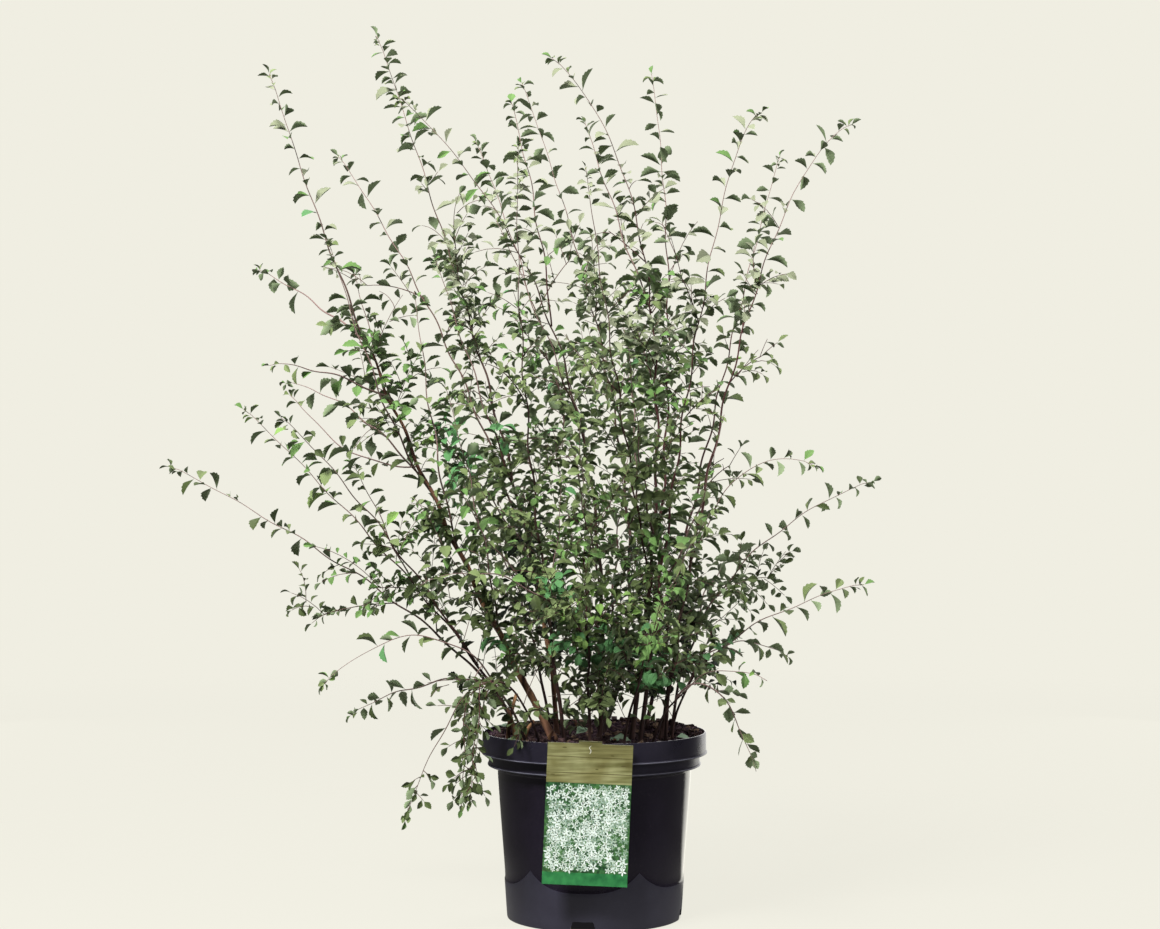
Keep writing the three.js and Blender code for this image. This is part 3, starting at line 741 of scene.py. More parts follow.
class Leaves:
    """Leaves of one tint, gathered into one mesh."""

    def __init__(self):
        self.rows = []

    def add(self, root, direction, across, face, length, droop, fold, twist, width):
        self.rows.append((*root, *direction, *across, *face, length, droop, fold, twist, width))

    def mesh(self, name, materials):
        rows = np.array(self.rows)
        root, direction, across, face = (rows[:, i : i + 3] for i in (0, 3, 6, 9))
        length, droop, fold, twist, width = (rows[:, i, None] for i in range(12, 17))
        s, w, off = LEAF_PLACES.T
        angle = droop * s
        forward = np.sin(angle) / droop * length
        down = (1 - np.cos(angle)) / droop * length
        ahead = direction[:, None, :]
        upward = face[:, None, :]
        normal = upward * np.cos(angle)[..., None] + ahead * np.sin(angle)[..., None]
        turn = twist * s
        sideways = across[:, None, :] * np.cos(turn)[..., None] + normal * np.sin(turn)[..., None]
        normal = normal * np.cos(turn)[..., None] - across[:, None, :] * np.sin(turn)[..., None]
        points = root[:, None, :] + ahead * forward[..., None] - upward * down[..., None]
        points = points + sideways * (w * np.cos(fold) * length * width)[..., None]
        points = points + normal * ((np.abs(w) * np.sin(fold) * width + off) * length)[..., None]
        count = len(LEAF_PLACES)
        shift = np.arange(len(rows))[:, None, None] * count
        faces = (LEAF_TRIANGLES[None] + shift).reshape(-1, 3)
        crisp = np.array([a * count + b for a, b in LEAF_CRISP])

        def sharp(ends):
            local = np.sort(ends % count, axis=1)
            return np.isin(local[:, 0] * count + local[:, 1], crisp)

        kinds = np.tile(LEAF_KINDS, len(rows))
        return make_piece(name, points.reshape(-1, 3), faces.tolist(), materials, kinds, sharp=sharp)


# --------------------------------------------------
# Finishes
# The sockets of a colour mix: its factor, its two colours, and its result
MIX_FACTOR, MIX_FIRST, MIX_SECOND, MIX_RESULT = 0, 6, 7, 2
# Where noise turns from one value to the other
SOFT_EDGE = (0.32, 0.68)
PRINT_EDGE = (0.36, 0.64)
# Metres above the floor: old wood's colour is gone at its top, and soil splashes fade over theirs
OLD_WOOD_TOP = 0.53
OLD_WOOD_FADE = 0.12
SPLASH_HEIGHTS = (0.25, 0.33)


def feed(tree, socket, value):
    """Gives a socket another node's output, a number or a colour."""
    if isinstance(value, bpy.types.NodeSocket):
        tree.links.new(value, socket)
    else:
        socket.default_value = (*value, 1) if socket.type == "RGBA" else value


def add_node(tree, kind, inputs=None, **settings):
    """A shader node with its settings. Its inputs are given by their names or places."""
    node = tree.nodes.new("ShaderNode" + kind)
    for label, value in settings.items():
        setattr(node, label, value)
    for label, value in (inputs or {}).items():
        feed(tree, node.inputs[label], value)
    return node


def new_group(name, inputs, outputs):
    """A shader group and its inputs, which are numbers and colours with their usual values."""
    group = bpy.data.node_groups.new(name, "ShaderNodeTree")
    for label, value in inputs.items():
        colour = isinstance(value, tuple)
        kind = "NodeSocketColor" if colour else "NodeSocketFloat"
        socket = group.interface.new_socket(label, in_out="INPUT", socket_type=kind)
        socket.default_value = (*value, 1) if colour else value
    for label in outputs:
        kind = "NodeSocketColor" if label == "Colour" else "NodeSocketFloat"
        group.interface.new_socket(label, in_out="OUTPUT", socket_type=kind)
    return group, group.nodes.new("NodeGroupInput").outputs


def put_out(group, **values):
    """Closes a group: what each of its outputs gives."""
    end = group.nodes.new("NodeGroupOutput")
    for label, value in values.items():
        group.links.new(value, end.inputs[label])
    return group


def coordinates(tree, kind="Object"):
    return add_node(tree, "TexCoord").outputs[kind]


def axes(tree, vector):
    return add_node(tree, "SeparateXYZ", {"Vector": vector}).outputs


def object_noise(tree, scale, detail=3.0, stretch=(1, 1, 1)):
    """Noise by the object's own coordinates, in metres."""
    place = add_node(tree, "Mapping", {"Vector": coordinates(tree), "Scale": stretch}).outputs["Vector"]
    return add_node(tree, "TexNoise", {"Vector": place, "Scale": scale, "Detail": detail}).outputs["Fac"]


def ramp(tree, value, from_low, from_high, low=0.0, high=1.0):
    """A value carried over from one range to another."""
    ranges = {"Value": value, "From Min": from_low, "From Max": from_high, "To Min": low, "To Max": high}
    return add_node(tree, "MapRange", ranges).outputs["Result"]


def multiply(tree, first, second):
    return add_node(tree, "Math", {0: first, 1: second}, operation="MULTIPLY").outputs["Value"]


def blend_colours(tree, mask, low, high):
    inputs = {MIX_FACTOR: mask, MIX_FIRST: low, MIX_SECOND: high}
    return add_node(tree, "Mix", inputs, data_type="RGBA").outputs[MIX_RESULT]


def make_mottle_group():
    """Soft blotches between two values, and the same blotches as a mask."""
    group, given = new_group("soft_mottle", {"Scale": 60.0, "Low": 0.0, "High": 1.0}, ["Value", "Mask"])
    mask = ramp(group, object_noise(group, given["Scale"]), *SOFT_EDGE)
    return put_out(group, Value=ramp(group, mask, 0.0, 1.0, given["Low"], given["High"]), Mask=mask)


def make_dust_group():
    """Dust and crumbs that lie where a surface faces up, broken by specks."""
    group, given = new_group("settled_dust", {"Amount": 0.3, "Speck Scale": 300.0}, ["Mask"])
    normal = add_node(group, "NewGeometry").outputs["Normal"]
    facing = ramp(group, axes(group, normal)["Z"], -0.3, 1.0, 0.15, 1.0)
    specks = ramp(group, object_noise(group, given["Speck Scale"], 4.0), 0.56, 0.72)
    return put_out(group, Mask=multiply(group, multiply(group, facing, specks), given["Amount"]))


def make_streak_group():
    """Bark: streaks along a cane from dark to light, patches, and old wood's colour low down."""
    inputs = {
        "Dark": (0.03, 0.02, 0.015), "Light": (0.1, 0.06, 0.04), "Old Wood": (0.2, 0.12, 0.07),
        "Old Wood Share": 0.0, "Streak Scale": 70.0,
    }
    group, given = new_group("bark_streaks", inputs, ["Colour", "Height"])
    mask = ramp(group, object_noise(group, given["Streak Scale"], 5.0, (1, 1, 0.22)), 0.38, 0.62)
    patch = ramp(group, object_noise(group, 38.0), 0.42, 0.6, 0.3, 1.0)
    height = axes(group, coordinates(group))["Z"]
    low_down = ramp(group, height, OLD_WOOD_TOP, OLD_WOOD_TOP - OLD_WOOD_FADE, 0.12, 1.0)
    above_soil = ramp(group, height, *SPLASH_HEIGHTS, 0.5, 1.0)
    aged = multiply(group, multiply(group, low_down, above_soil), patch)
    old = multiply(group, aged, given["Old Wood Share"])
    light = blend_colours(group, old, given["Light"], given["Old Wood"])
    return put_out(group, Colour=blend_colours(group, mask, given["Dark"], light), Height=mask)


def make_crumb_group():
    """Peat and bark crumbs: lumps of a dark and a middle colour, with light fibres."""
    inputs = {
        "Dark": (0.02, 0.01, 0.01), "Middle": (0.04, 0.02, 0.02), "Light": (0.08, 0.05, 0.04), "Scale": 90.0,
    }
    group, given = new_group("crumbs_and_fibres", inputs, ["Colour", "Height"])
    lump = ramp(group, object_noise(group, given["Scale"]), *SOFT_EDGE)
    fibres = object_noise(group, multiply(group, given["Scale"], 3.0), 6.0)
    ground = blend_colours(group, lump, given["Dark"], given["Middle"])
    colour = blend_colours(group, ramp(group, fibres, 0.45, 0.66), ground, given["Light"])
    return put_out(group, Colour=colour, Height=fibres)


def make_print_group():
    """Print: two colours that run into each other in streaks or blotches, and the film's gloss."""
    inputs = {
        "Low": (0.1, 0.1, 0.05), "High": (0.3, 0.3, 0.15), "Faded Low": (0.15, 0.15, 0.06),
        "Faded High": (0.3, 0.3, 0.15), "Scale": 90.0, "Stretch": 1.0,
    }
    group, given = new_group("printed_colours", inputs, ["Colour", "Roughness"])
    place = axes(group, coordinates(group))
    tall = multiply(group, place["Z"], given["Stretch"])
    place = add_node(group, "CombineXYZ", {"X": place["X"], "Y": place["Y"], "Z": tall}).outputs["Vector"]
    grain = add_node(group, "TexNoise", {"Vector": place, "Scale": given["Scale"], "Detail": 5.0})
    mask = ramp(group, grain.outputs["Fac"], *PRINT_EDGE)
    faded = ramp(group, object_noise(group, 32.0), *PRINT_EDGE)
    low = blend_colours(group, faded, given["Low"], given["Faded Low"])
    high = blend_colours(group, faded, given["High"], given["Faded High"])
    gloss = ramp(group, faded, 0.0, 1.0, 0.38, 0.5)
    return put_out(group, Colour=blend_colours(group, mask, low, high), Roughness=gloss)


def make_plastic_group():
    """Moulded plastic: an uneven skin between two colours, its gloss, and fine grain."""
    inputs = {"Base": (0.01, 0.01, 0.01), "Worn": (0.02, 0.02, 0.02), "Smooth": 0.2, "Dull": 0.3}
    group, given = new_group("moulded_plastic", inputs, ["Colour", "Roughness", "Height"])
    mask = ramp(group, object_noise(group, 28.0), *SOFT_EDGE)
    colour = blend_colours(group, mask, given["Base"], given["Worn"])
    gloss = ramp(group, mask, 0.0, 1.0, given["Smooth"], given["Dull"])
    return put_out(group, Colour=colour, Roughness=gloss, Height=object_noise(group, 900.0, 2.0))


MOTTLE = make_mottle_group()
DUST = make_dust_group()
STREAKS = make_streak_group()
CRUMBS = make_crumb_group()
PRINT = make_print_group()
PLASTIC = make_plastic_group()


def place_group(tree, group, **values):
    """A group in a material, with the material's own values. An underscore stands for a space."""
    node = add_node(tree, "Group", node_tree=group)
    for label, value in values.items():
        feed(tree, node.inputs[label.replace("_", " ")], value)
    return node.outputs


def new_material(name, specular):
    material = bpy.data.materials.new(name)
    material.use_nodes = True
    shader = material.node_tree.nodes["Principled BSDF"]
    shader.inputs["Specular IOR Level"].default_value = specular
    return material, material.node_tree, shader


def coat(tree, shader, colour, roughness, height=None, depth=0.0, strength=1.0):
    """A material's colour, roughness and relief. depth is the relief's, in metres."""
    feed(tree, shader.inputs["Base Color"], colour)
    feed(tree, shader.inputs["Roughness"], roughness)
    if height is not None:
        bump = add_node(tree, "Bump", {"Height": height, "Distance": depth, "Strength": strength})
        feed(tree, shader.inputs["Normal"], bump.outputs["Normal"])


def plain_material(name, colour, specular, grain, roughness, strength=1.0):
    """A plain tint, with a slightly uneven skin."""
    material, tree, shader = new_material(name, specular)
    skin = place_group(tree, MOTTLE, Scale=grain, Low=roughness[0], High=roughness[1])
    coat(tree, shader, colour, skin["Value"], skin["Mask"], 0.0003, strength)
    return material


def leaf_material(name, colour, roughness=0.5, specular=0.35):
    return plain_material(name, colour, specular, 260.0, (roughness - 0.08, roughness + 0.1), 0.6)


def twig_material(name, colour):
    return plain_material(name, colour, 0.3, 220.0, (0.5, 0.8))


def bark_material(name, dark, light, old_wood, old_wood_share):
    material, tree, shader = new_material(name, 0.3)
    skin = place_group(tree, MOTTLE, Scale=45.0, Low=0.62, High=0.85)
    streaks = place_group(
        tree, STREAKS, Dark=dark, Light=light, Old_Wood=old_wood, Old_Wood_Share=old_wood_share)
    coat(tree, shader, streaks["Colour"], skin["Value"], streaks["Height"], 0.0006)
    return material


def pot_material(name, base, worn, smooth, dull):
    material, tree, shader = new_material(name, 0.5)
    shader.inputs["Specular Tint"].default_value = (0.86, 0.86, 1, 1)
    skin = place_group(tree, PLASTIC, Base=base, Worn=worn, Smooth=smooth, Dull=dull)
    film = place_group(tree, DUST, Amount=0.12, Speck_Scale=420.0)
    dusted = blend_colours(tree, film["Mask"], skin["Colour"], (0.16, 0.14, 0.13))
    coat(tree, shader, dusted, skin["Roughness"], skin["Height"], 0.00012, 0.5)
    return material


def soil_material(name, dark, middle, light, scale):
    material, tree, shader = new_material(name, 0.2)
    crumbs = place_group(tree, CRUMBS, Dark=dark, Middle=middle, Light=light, Scale=scale)
    skin = place_group(tree, MOTTLE, Scale=scale, Low=0.75, High=1.0)
    coat(tree, shader, crumbs["Colour"], skin["Value"], crumbs["Height"], 0.002)
    return material


def print_material(name, low, high, scale, faded_low=None, faded_high=None, stretch=1.0):
    material, tree, shader = new_material(name, 0.5)
    ink = place_group(
        tree, PRINT, Low=low, High=high, Faded_Low=faded_low or low, Faded_High=faded_high or high,
        Scale=scale, Stretch=stretch)
    coat(tree, shader, ink["Colour"], ink["Roughness"])
    return material


# --------------------------------------------------
# Camera, light and floor
CAMERA_LENS = 73.58
CAMERA_SENSOR = 36
BACKDROP = (0.871, 0.855, 0.761)
SKY = (1, 0.99, 0.97)
# How strongly the surroundings light the part from the front and from behind
FRONT_GLOW = 0.15
BACK_FILL = 0.6
# What glossy skins mirror: the dim front, and the bright side behind and above
MIRRORED_FRONT = 0.05
BRIGHT_SIDE = (0.3, 1.0, 0.0)
BACK_GLOW = 2.0
CEILING_GLOW = 2.0
# Name, place, target, width, height and power
SOFTBOXES = [
    ("key_softbox", (-1.2, -1.9, 2.9), (0, 0, 0.6), 0.9, 0.9, 270),
    ("fill_softbox", (2.4, -1.4, 1.2), (0, 0, 0.5), 1.4, 1.8, 40),
    ("left_back_softbox", (-1.5, 1.9, 0.85), (0, 0, 0.4), 1.0, 1.7, 14),
    ("right_back_softbox", (1.5, 1.9, 0.85), (0, 0, 0.4), 1.2, 1.7, 18),
]
# The floor glows as a light of its own. Near the pot, behind it and on a bright side it gives painted light
# that the pot's skin mirrors, and it holds a painted shadow under the pot
FLOOR_OWN_LIGHT = 0.93
BRIGHT_FLOOR_SIDE = (0.287, 0.958, 0.0)
MIRRORED_FLOOR = 1.9
FLOOR_RINGS = [0.4, 0.8, 1.2, 2.0, 3.0, 4.2]
FLOOR_SIDES = 64
FLOOR_FADE = (1.0, 3.6)
CONTACT_WIDTH = 0.008


def add_to_scene(name, data):
    holder = bpy.data.objects.new(name, data)
    bpy.context.scene.collection.objects.link(holder)
    return holder


def make_camera():
    camera = bpy.data.cameras.new("camera")
    camera.lens = CAMERA_LENS
    camera.sensor_width = CAMERA_SENSOR
    camera.sensor_fit = "HORIZONTAL"
    holder = add_to_scene("camera", camera)
    holder.location = [part * MM for part in VIEWING_PLACE]
    holder.rotation_euler = (math.pi / 2, 0, 0)
    bpy.context.scene.camera = holder


def make_softboxes():
    for name, place, target, width, height, power in SOFTBOXES:
        light = bpy.data.lights.new(name, "AREA")
        light.shape = "RECTANGLE"
        light.size = width
        light.size_y = height
        light.energy = power
        holder = add_to_scene(name, light)
        holder.visible_glossy = False
        holder.visible_camera = False
        holder.location = place
        aim = Vector(target) - Vector(place)
        holder.rotation_euler = aim.to_track_quat("-Z", "Y").to_euler()


def make_studio():
    """A plain backdrop for the camera, soft light for the rest, and bright sides that glossy skins mirror."""
    world = bpy.data.worlds.new("studio")
    bpy.context.scene.world = world
    world.use_nodes = True
    tree = world.node_tree
    tree.nodes.clear()
    way = coordinates(tree, "Generated")
    towards = axes(tree, way)
    path = add_node(tree, "LightPath").outputs
    aim = add_node(tree, "VectorMath", {0: way, 1: BRIGHT_SIDE}, operation="DOT_PRODUCT")
    spread = ramp(tree, towards["Y"], -0.2, 0.8, FRONT_GLOW, BACK_FILL)
    mirrored = ramp(tree, aim.outputs["Value"], 0.94, 0.985, MIRRORED_FRONT, BACK_GLOW)
    ceiling = ramp(tree, towards["Z"], 0.5, 0.9, mirrored, CEILING_GLOW)
    glow = ramp(tree, path["Is Glossy Ray"], 0.0, 1.0, spread, ceiling)
    soft = add_node(tree, "Background", {"Color": SKY, "Strength": glow}).outputs["Background"]
    seen = add_node(tree, "Background", {"Color": BACKDROP}).outputs["Background"]
    mix = add_node(tree, "MixShader", {0: path["Is Camera Ray"], 1: soft, 2: seen})
    add_node(tree, "OutputWorld", {"Surface": mix.outputs["Shader"]})


def make_floor():
    """A pale floor that glows like the backdrop for the camera. For other rays it glows near the pot, behind
    it and on a bright side, as painted light. Under the pot it is darkened as a painted shadow, and it fades
    out at its edge.
    """
    angles = np.arange(FLOOR_SIDES) * FULL_TURN / FLOOR_SIDES
    points = [(r * math.cos(a) / MM, r * math.sin(a) / MM, 0) for r in FLOOR_RINGS for a in angles]
    faces = [tuple(range(FLOOR_SIDES))]
    for k in range(len(FLOOR_RINGS) - 1):
        faces += ring_faces(k * FLOOR_SIDES, (k + 1) * FLOOR_SIDES, FLOOR_SIDES, flip=True)
    material, tree, shader = new_material("pale_floor", 0)
    grain = place_group(tree, MOTTLE, Scale=2.0, Low=0.85, High=0.95)
    coat(tree, shader, (0.5, 0.49, 0.435), grain["Value"])
    place = coordinates(tree)
    reach = add_node(tree, "VectorMath", {0: place}, operation="LENGTH").outputs["Value"]
    heading = add_node(tree, "VectorMath", {0: place}, operation="NORMALIZE").outputs["Vector"]
    aim = add_node(tree, "VectorMath", {0: heading, 1: BRIGHT_FLOOR_SIDE}, operation="DOT_PRODUCT")
    path = add_node(tree, "LightPath").outputs
    # Painted light: the floor's glow for other rays, bright near the pot and behind it, and for glossy rays a
    # bright side that the pot's skin mirrors
    near = ramp(tree, reach, 0.3, 0.5, 0.7, 0.05)
    lit_back = ramp(tree, axes(tree, place)["Y"], 0.0, 0.8, near, 0.9)
    dim = ramp(tree, reach, 0.15, 0.5, 0.3, MIRRORED_FRONT)
    mirrored = ramp(tree, aim.outputs["Value"], 0.85, 0.885, dim, MIRRORED_FLOOR)
    painted_glow_off_camera = ramp(tree, path["Is Glossy Ray"], 0.0, 1.0, lit_back, mirrored)
    foot = FOOT_RADIUS * MM
    # Painted shadow: the floor seen by the camera turns dark under the pot
    painted_shadow_under_pot = ramp(tree, reach, foot - CONTACT_WIDTH, foot, 0.02, 1.0)
    strength = ramp(tree, path["Is Camera Ray"], 0.0, 1.0, painted_glow_off_camera, painted_shadow_under_pot)
    glow = add_node(tree, "Emission", {"Color": BACKDROP, "Strength": strength}).outputs["Emission"]
    lit = add_node(tree, "MixShader", {0: FLOOR_OWN_LIGHT, 1: shader.outputs["BSDF"], 2: glow})
    fade = ramp(tree, reach, *FLOOR_FADE)
    clear = add_node(tree, "BsdfTransparent").outputs["BSDF"]
    edge = add_node(tree, "MixShader", {0: fade, 1: lit.outputs["Shader"], 2: clear})
    feed(tree, tree.nodes["Material Output"].inputs["Surface"], edge.outputs["Shader"])
    make_piece("floor", points, faces, [material])


# --------------------------------------------------
# Pot
POT_COLUMNS = 360
FLUTE_COUNT = 5
FLUTE_DEPTH = 1.1
FLUTE_FOOT = 50
FLUTE_CUSP = 74
LEDGE_HEIGHT = 2.2
SKIRT_ROWS = 8
FLUTE_ROWS = 20
BEAD_RADIUS = 1.7
BEAD_STEPS = 6
BEAD_FLATNESS = 0.8
# Steps of each band's bead that take a pale tint: a painted highlight line along the band's foot
PAINTED_HIGHLIGHT_STEPS = (2, 3)
BAND_STEP = 0.6
DISC_CENTRE = STANDING_DISC_RADIUS * 0.3
GROOVE_RADIUS = STANDING_DISC_RADIUS + 4
SKIRT_FOOT = 1.8
CREASE = 32 * DEGREE
# How far a notch reaches down, out of the foot and into it
NOTCH_SPARE = 2
NOTCH_OUT = 6
NOTCH_IN = 9
# The pot's finishes, in the order of their materials. The satin skirt is rougher, and its lighter base is a
# painted reflection of the floor.
GLOSS, SATIN_PAINTED_REFLECTION, BAND, BEAD_PAINTED_HIGHLIGHT = range(4)


def body_radius(height):
    return blend(FOOT_RADIUS, BODY_TOP_RADIUS, height / BODY_TOP)


class PotProfile:
    """The pot's outline as rings, from the middle of its underside round its rim to its inner floor."""

    def __init__(self):
        self.angle = np.arange(POT_COLUMNS) * FULL_TURN / POT_COLUMNS - math.pi / 2 + POT_TURN
        from_front = self.angle + math.pi / 2 - POT_TURN
        self.share = np.abs((from_front / (FULL_TURN / FLUTE_COUNT) + 0.5) % 1 - 0.5) * 2
        self.rows, self.finishes = [], []

    def row(self, radius, height, finish=GLOSS):
        """One ring: its radius and height, each one number or one for each column."""
        self.rows.append((np.full(POT_COLUMNS, 1.0) * radius, np.full(POT_COLUMNS, 1.0) * height))
        self.finishes.append(finish)

    def add_foot(self):
        row, foot = self.row, FOOT_RADIUS
        row(DISC_CENTRE, 0)
        row(STANDING_DISC_RADIUS, 0)
        row(GROOVE_RADIUS, FOOT_GROOVE_HEIGHT)
        row(foot - FOOT_RING_WIDTH, FOOT_GROOVE_HEIGHT)
        row(foot - FOOT_RING_WIDTH, 0.6)
        row(foot - FOOT_RING_WIDTH + 0.8, 0)
        row(foot - 1.4, 0, SATIN_PAINTED_REFLECTION)
        row(foot - 0.3, 0.6, SATIN_PAINTED_REFLECTION)
        row(foot + 0.1, SKIRT_FOOT, SATIN_PAINTED_REFLECTION)

    def add_body(self):
        """A satin skirt up to a scalloped ledge, lighter with a painted reflection of the floor, and glossy
        flutes that fade towards the bands.
        """
        scallop = blend(FLUTE_FOOT, FLUTE_CUSP, self.share**3.2)
        for k in range(1, SKIRT_ROWS + 1):
            height = blend(SKIRT_FOOT, scallop - LEDGE_HEIGHT, k / SKIRT_ROWS)
            self.row(body_radius(height) + 0.1, height, SATIN_PAINTED_REFLECTION)
        inset = FLUTE_DEPTH * (1 - self.share**3)
        for rise, part in ((-1.2, 0.2), (0, 0.55), (1.4, 0.85)):
            self.row(body_radius(scallop + rise) - inset * part, scallop + rise)
        for k in range(1, FLUTE_ROWS + 1):
            height = blend(scallop + 3, BODY_TOP - 2, k / FLUTE_ROWS)
            fading = 1 - smooth_step(height, scallop, BODY_TOP - 10)
            self.row(body_radius(height) - inset * fading, height)
        self.row(BODY_TOP_RADIUS + 0.4, BODY_TOP)

    def add_band(self, foot, radius):
        """A band's underside, the bead along its foot with a painted highlight line on two of its steps, and
        the start of its wall.
        """
        self.row(radius - 3, foot, BAND)
        for step in range(BEAD_STEPS):
            turn = -math.pi / 2 + step * math.pi / (BEAD_STEPS - 1)
            out = radius - BAND_STEP + BEAD_RADIUS * math.cos(turn) * BEAD_FLATNESS
            height = foot + BEAD_RADIUS + BEAD_RADIUS * math.sin(turn)
            self.row(out, height, BEAD_PAINTED_HIGHLIGHT if step in PAINTED_HIGHLIGHT_STEPS else BAND)
        self.row(radius - BAND_STEP, foot + 4 * BEAD_RADIUS, BAND)

    def add_rim(self):
        lower, upper = LOWER_BAND_RADIUS, UPPER_BAND_RADIUS
        self.add_band(LOWER_BAND_BOTTOM, lower)
        self.row(lower - BAND_STEP, UPPER_BAND_BOTTOM - 2, BAND)
        self.row(lower - 0.2, UPPER_BAND_BOTTOM, BAND)
        self.add_band(UPPER_BAND_BOTTOM, upper)
        self.row(upper - BAND_STEP, POT_HEIGHT - 2, BAND)
        self.row(upper - 0.9, POT_HEIGHT - 0.5, BAND)
        self.row(upper - 1.5, POT_HEIGHT, BAND)
        self.row(upper - POT_WALL + 0.8, POT_HEIGHT)
        self.row(upper - POT_WALL, POT_HEIGHT - 0.8)

    def add_inside(self):
        row, wall = self.row, POT_WALL
        row(UPPER_BAND_RADIUS - wall, UPPER_BAND_BOTTOM + wall)
        row(LOWER_BAND_RADIUS - wall, UPPER_BAND_BOTTOM + wall)
        row(LOWER_BAND_RADIUS - wall, LOWER_BAND_BOTTOM + wall)
        row(BODY_TOP_RADIUS - 2 * wall, BODY_TOP + wall)
        row(FOOT_RADIUS - 2 * wall - 1, FOOT_GROOVE_HEIGHT + wall)
        row(GROOVE_RADIUS - wall, FOOT_GROOVE_HEIGHT + wall)
        row(STANDING_DISC_RADIUS - wall, wall)
        row(DISC_CENTRE, wall)

    def mesh(self, name, materials):
        faces, kinds = [], []
        cos, sin = np.cos(self.angle), np.sin(self.angle)
        points = [np.stack([radius * cos, radius * sin, height], axis=1) for radius, height in self.rows]
        for k, (below, above) in enumerate(zip(self.finishes, self.finishes[1:])):
            faces += ring_faces(k * POT_COLUMNS, (k + 1) * POT_COLUMNS, POT_COLUMNS)
            kinds += [min(below, above)] * POT_COLUMNS
        last = (len(self.rows) - 1) * POT_COLUMNS
        faces.append(tuple(range(POT_COLUMNS))[::-1])
        faces.append(tuple(last + i for i in range(POT_COLUMNS)))
        return make_piece(name, np.concatenate(points), faces, materials, kinds + [GLOSS, GLOSS])


def make_pot():
    profile = PotProfile()
    profile.add_foot()
    profile.add_body()
    profile.add_rim()
    profile.add_inside()
    pot = profile.mesh("pot", [
        pot_material("black_pot_gloss", (0.0085, 0.0065, 0.012), (0.011, 0.0085, 0.0155), 0.07, 0.13),
        # The satin skirt: rougher than the gloss, and lighter in base as a painted reflection of the floor
        pot_material("black_pot_satin_painted_reflection", (0.023, 0.0215, 0.033), (0.03, 0.0285, 0.043), 0.3, 0.42),
        pot_material("black_pot_band", (0.013, 0.0115, 0.019), (0.017, 0.015, 0.024), 0.26, 0.36),
        # A pale tint on two steps of each bead: a painted highlight line
        pot_material("bead_painted_highlight", (0.05, 0.05, 0.07), (0.2, 0.2, 0.25), 0.25, 0.45),
    ])
    for i in range(NOTCH_COUNT):
        cutter = make_notch_cutter(POT_TURN + i * FULL_TURN / NOTCH_COUNT)
        cut = pot.modifiers.new("notch", "BOOLEAN")
        cut.operation = "DIFFERENCE"
        cut.solver = "EXACT"
        cut.object = cutter
        bpy.context.view_layer.objects.active = pot
        with bpy.context.temp_override(object=pot, active_object=pot):
            bpy.ops.object.modifier_apply(modifier="notch")
        bpy.data.objects.remove(cutter)
    with bpy.context.temp_override(object=pot, active_object=pot, selected_editable_objects=[pot]):
        bpy.ops.object.shade_smooth_by_angle(angle=CREASE)
    settle(pot, ["nursery_pot"])


def make_notch_cutter(turn):
    """A block through the foot ring, wider at the floor."""
    low, high = NOTCH_BOTTOM_WIDTH / 2, NOTCH_TOP_WIDTH / 2
    outline = [(-low, -NOTCH_SPARE), (low, -NOTCH_SPARE), (high, NOTCH_HEIGHT), (-high, NOTCH_HEIGHT)]
    cos, sin = math.cos(turn), math.sin(turn)
    reaches = (-FOOT_RADIUS - NOTCH_OUT, -FOOT_RADIUS + NOTCH_IN)
    points = [(x * cos - y * sin, x * sin + y * cos, z) for y in reaches for x, z in outline]
    faces = [(0, 1, 2, 3), (7, 6, 5, 4)] + [(i, i + 4, (i + 1) % 4 + 4, (i + 1) % 4) for i in range(4)]
    return make_piece("notch_cutter", points, faces, [], smooth=False)


# --------------------------------------------------
# Soil
# Heaps of soil: across, back, reach and rise
SOIL_HEAPS = [
    (98, 86, 32, 15), (62, 116, 30, 13), (128, 46, 28, 17), (22, 128, 30, 11), (-40, 112, 40, 11),
    (-104, 80, 34, 13), (136, 4, 26, 15), (-134, 30, 26, 12), (-134, -14, 22, 8),
]
# Lumps of soil: how far apart, and how high
SOIL_LUMPS = [(46, 2.2), (21, 1.9), (9.5, 1.5), (5.2, 0.9)]
# A low heap along the front, behind the care card: rise, place and half width
FRONT_HEAP = (3.5, -92, 40)
# Where the soil sags towards the pot's wall, and where its heaps sink
SAG_SPAN = (104, 138)
HEAP_SINK_SPAN = (124, 139)
SOIL_RINGS = 70
SOIL_SIDES = 220


def soil_height(x, y):
    """The crumbly top of the soil: lumps of a few sizes, lower at the wall and heaped at the back right."""
    radius = np.hypot(x, y)
    lumps = np.zeros_like(x)
    for k, (pitch, size) in enumerate(SOIL_LUMPS):
        turn = 0.7 + 1.9 * k
        u = FULL_TURN * ((x * math.cos(turn) + y * math.sin(turn)) / pitch)
        v = FULL_TURN * ((-x * math.sin(turn) + y * math.cos(turn)) / pitch)
        lumps += size * np.sin(u + 1.3 * np.sin(v + k)) * np.cos(v + 2 * k)
    rise, back, half_width = FRONT_HEAP
    heap = rise * np.exp(-((y - back) ** 2) / half_width**2)
    for across, back, reach, rise in SOIL_HEAPS:
        heap = heap + rise * np.exp(-((x - across) ** 2 + (y - back) ** 2) / reach**2)
    sag = (SOIL_TOP - SOIL_EDGE) * smooth_step(radius, *SAG_SPAN)
    return SOIL_TOP + 1 - sag + lumps + heap * (1 - 0.1 * smooth_step(radius, *HEAP_SINK_SPAN))


def ground_at(x, y):
    return float(soil_height(np.array(float(x)), np.array(float(y))))


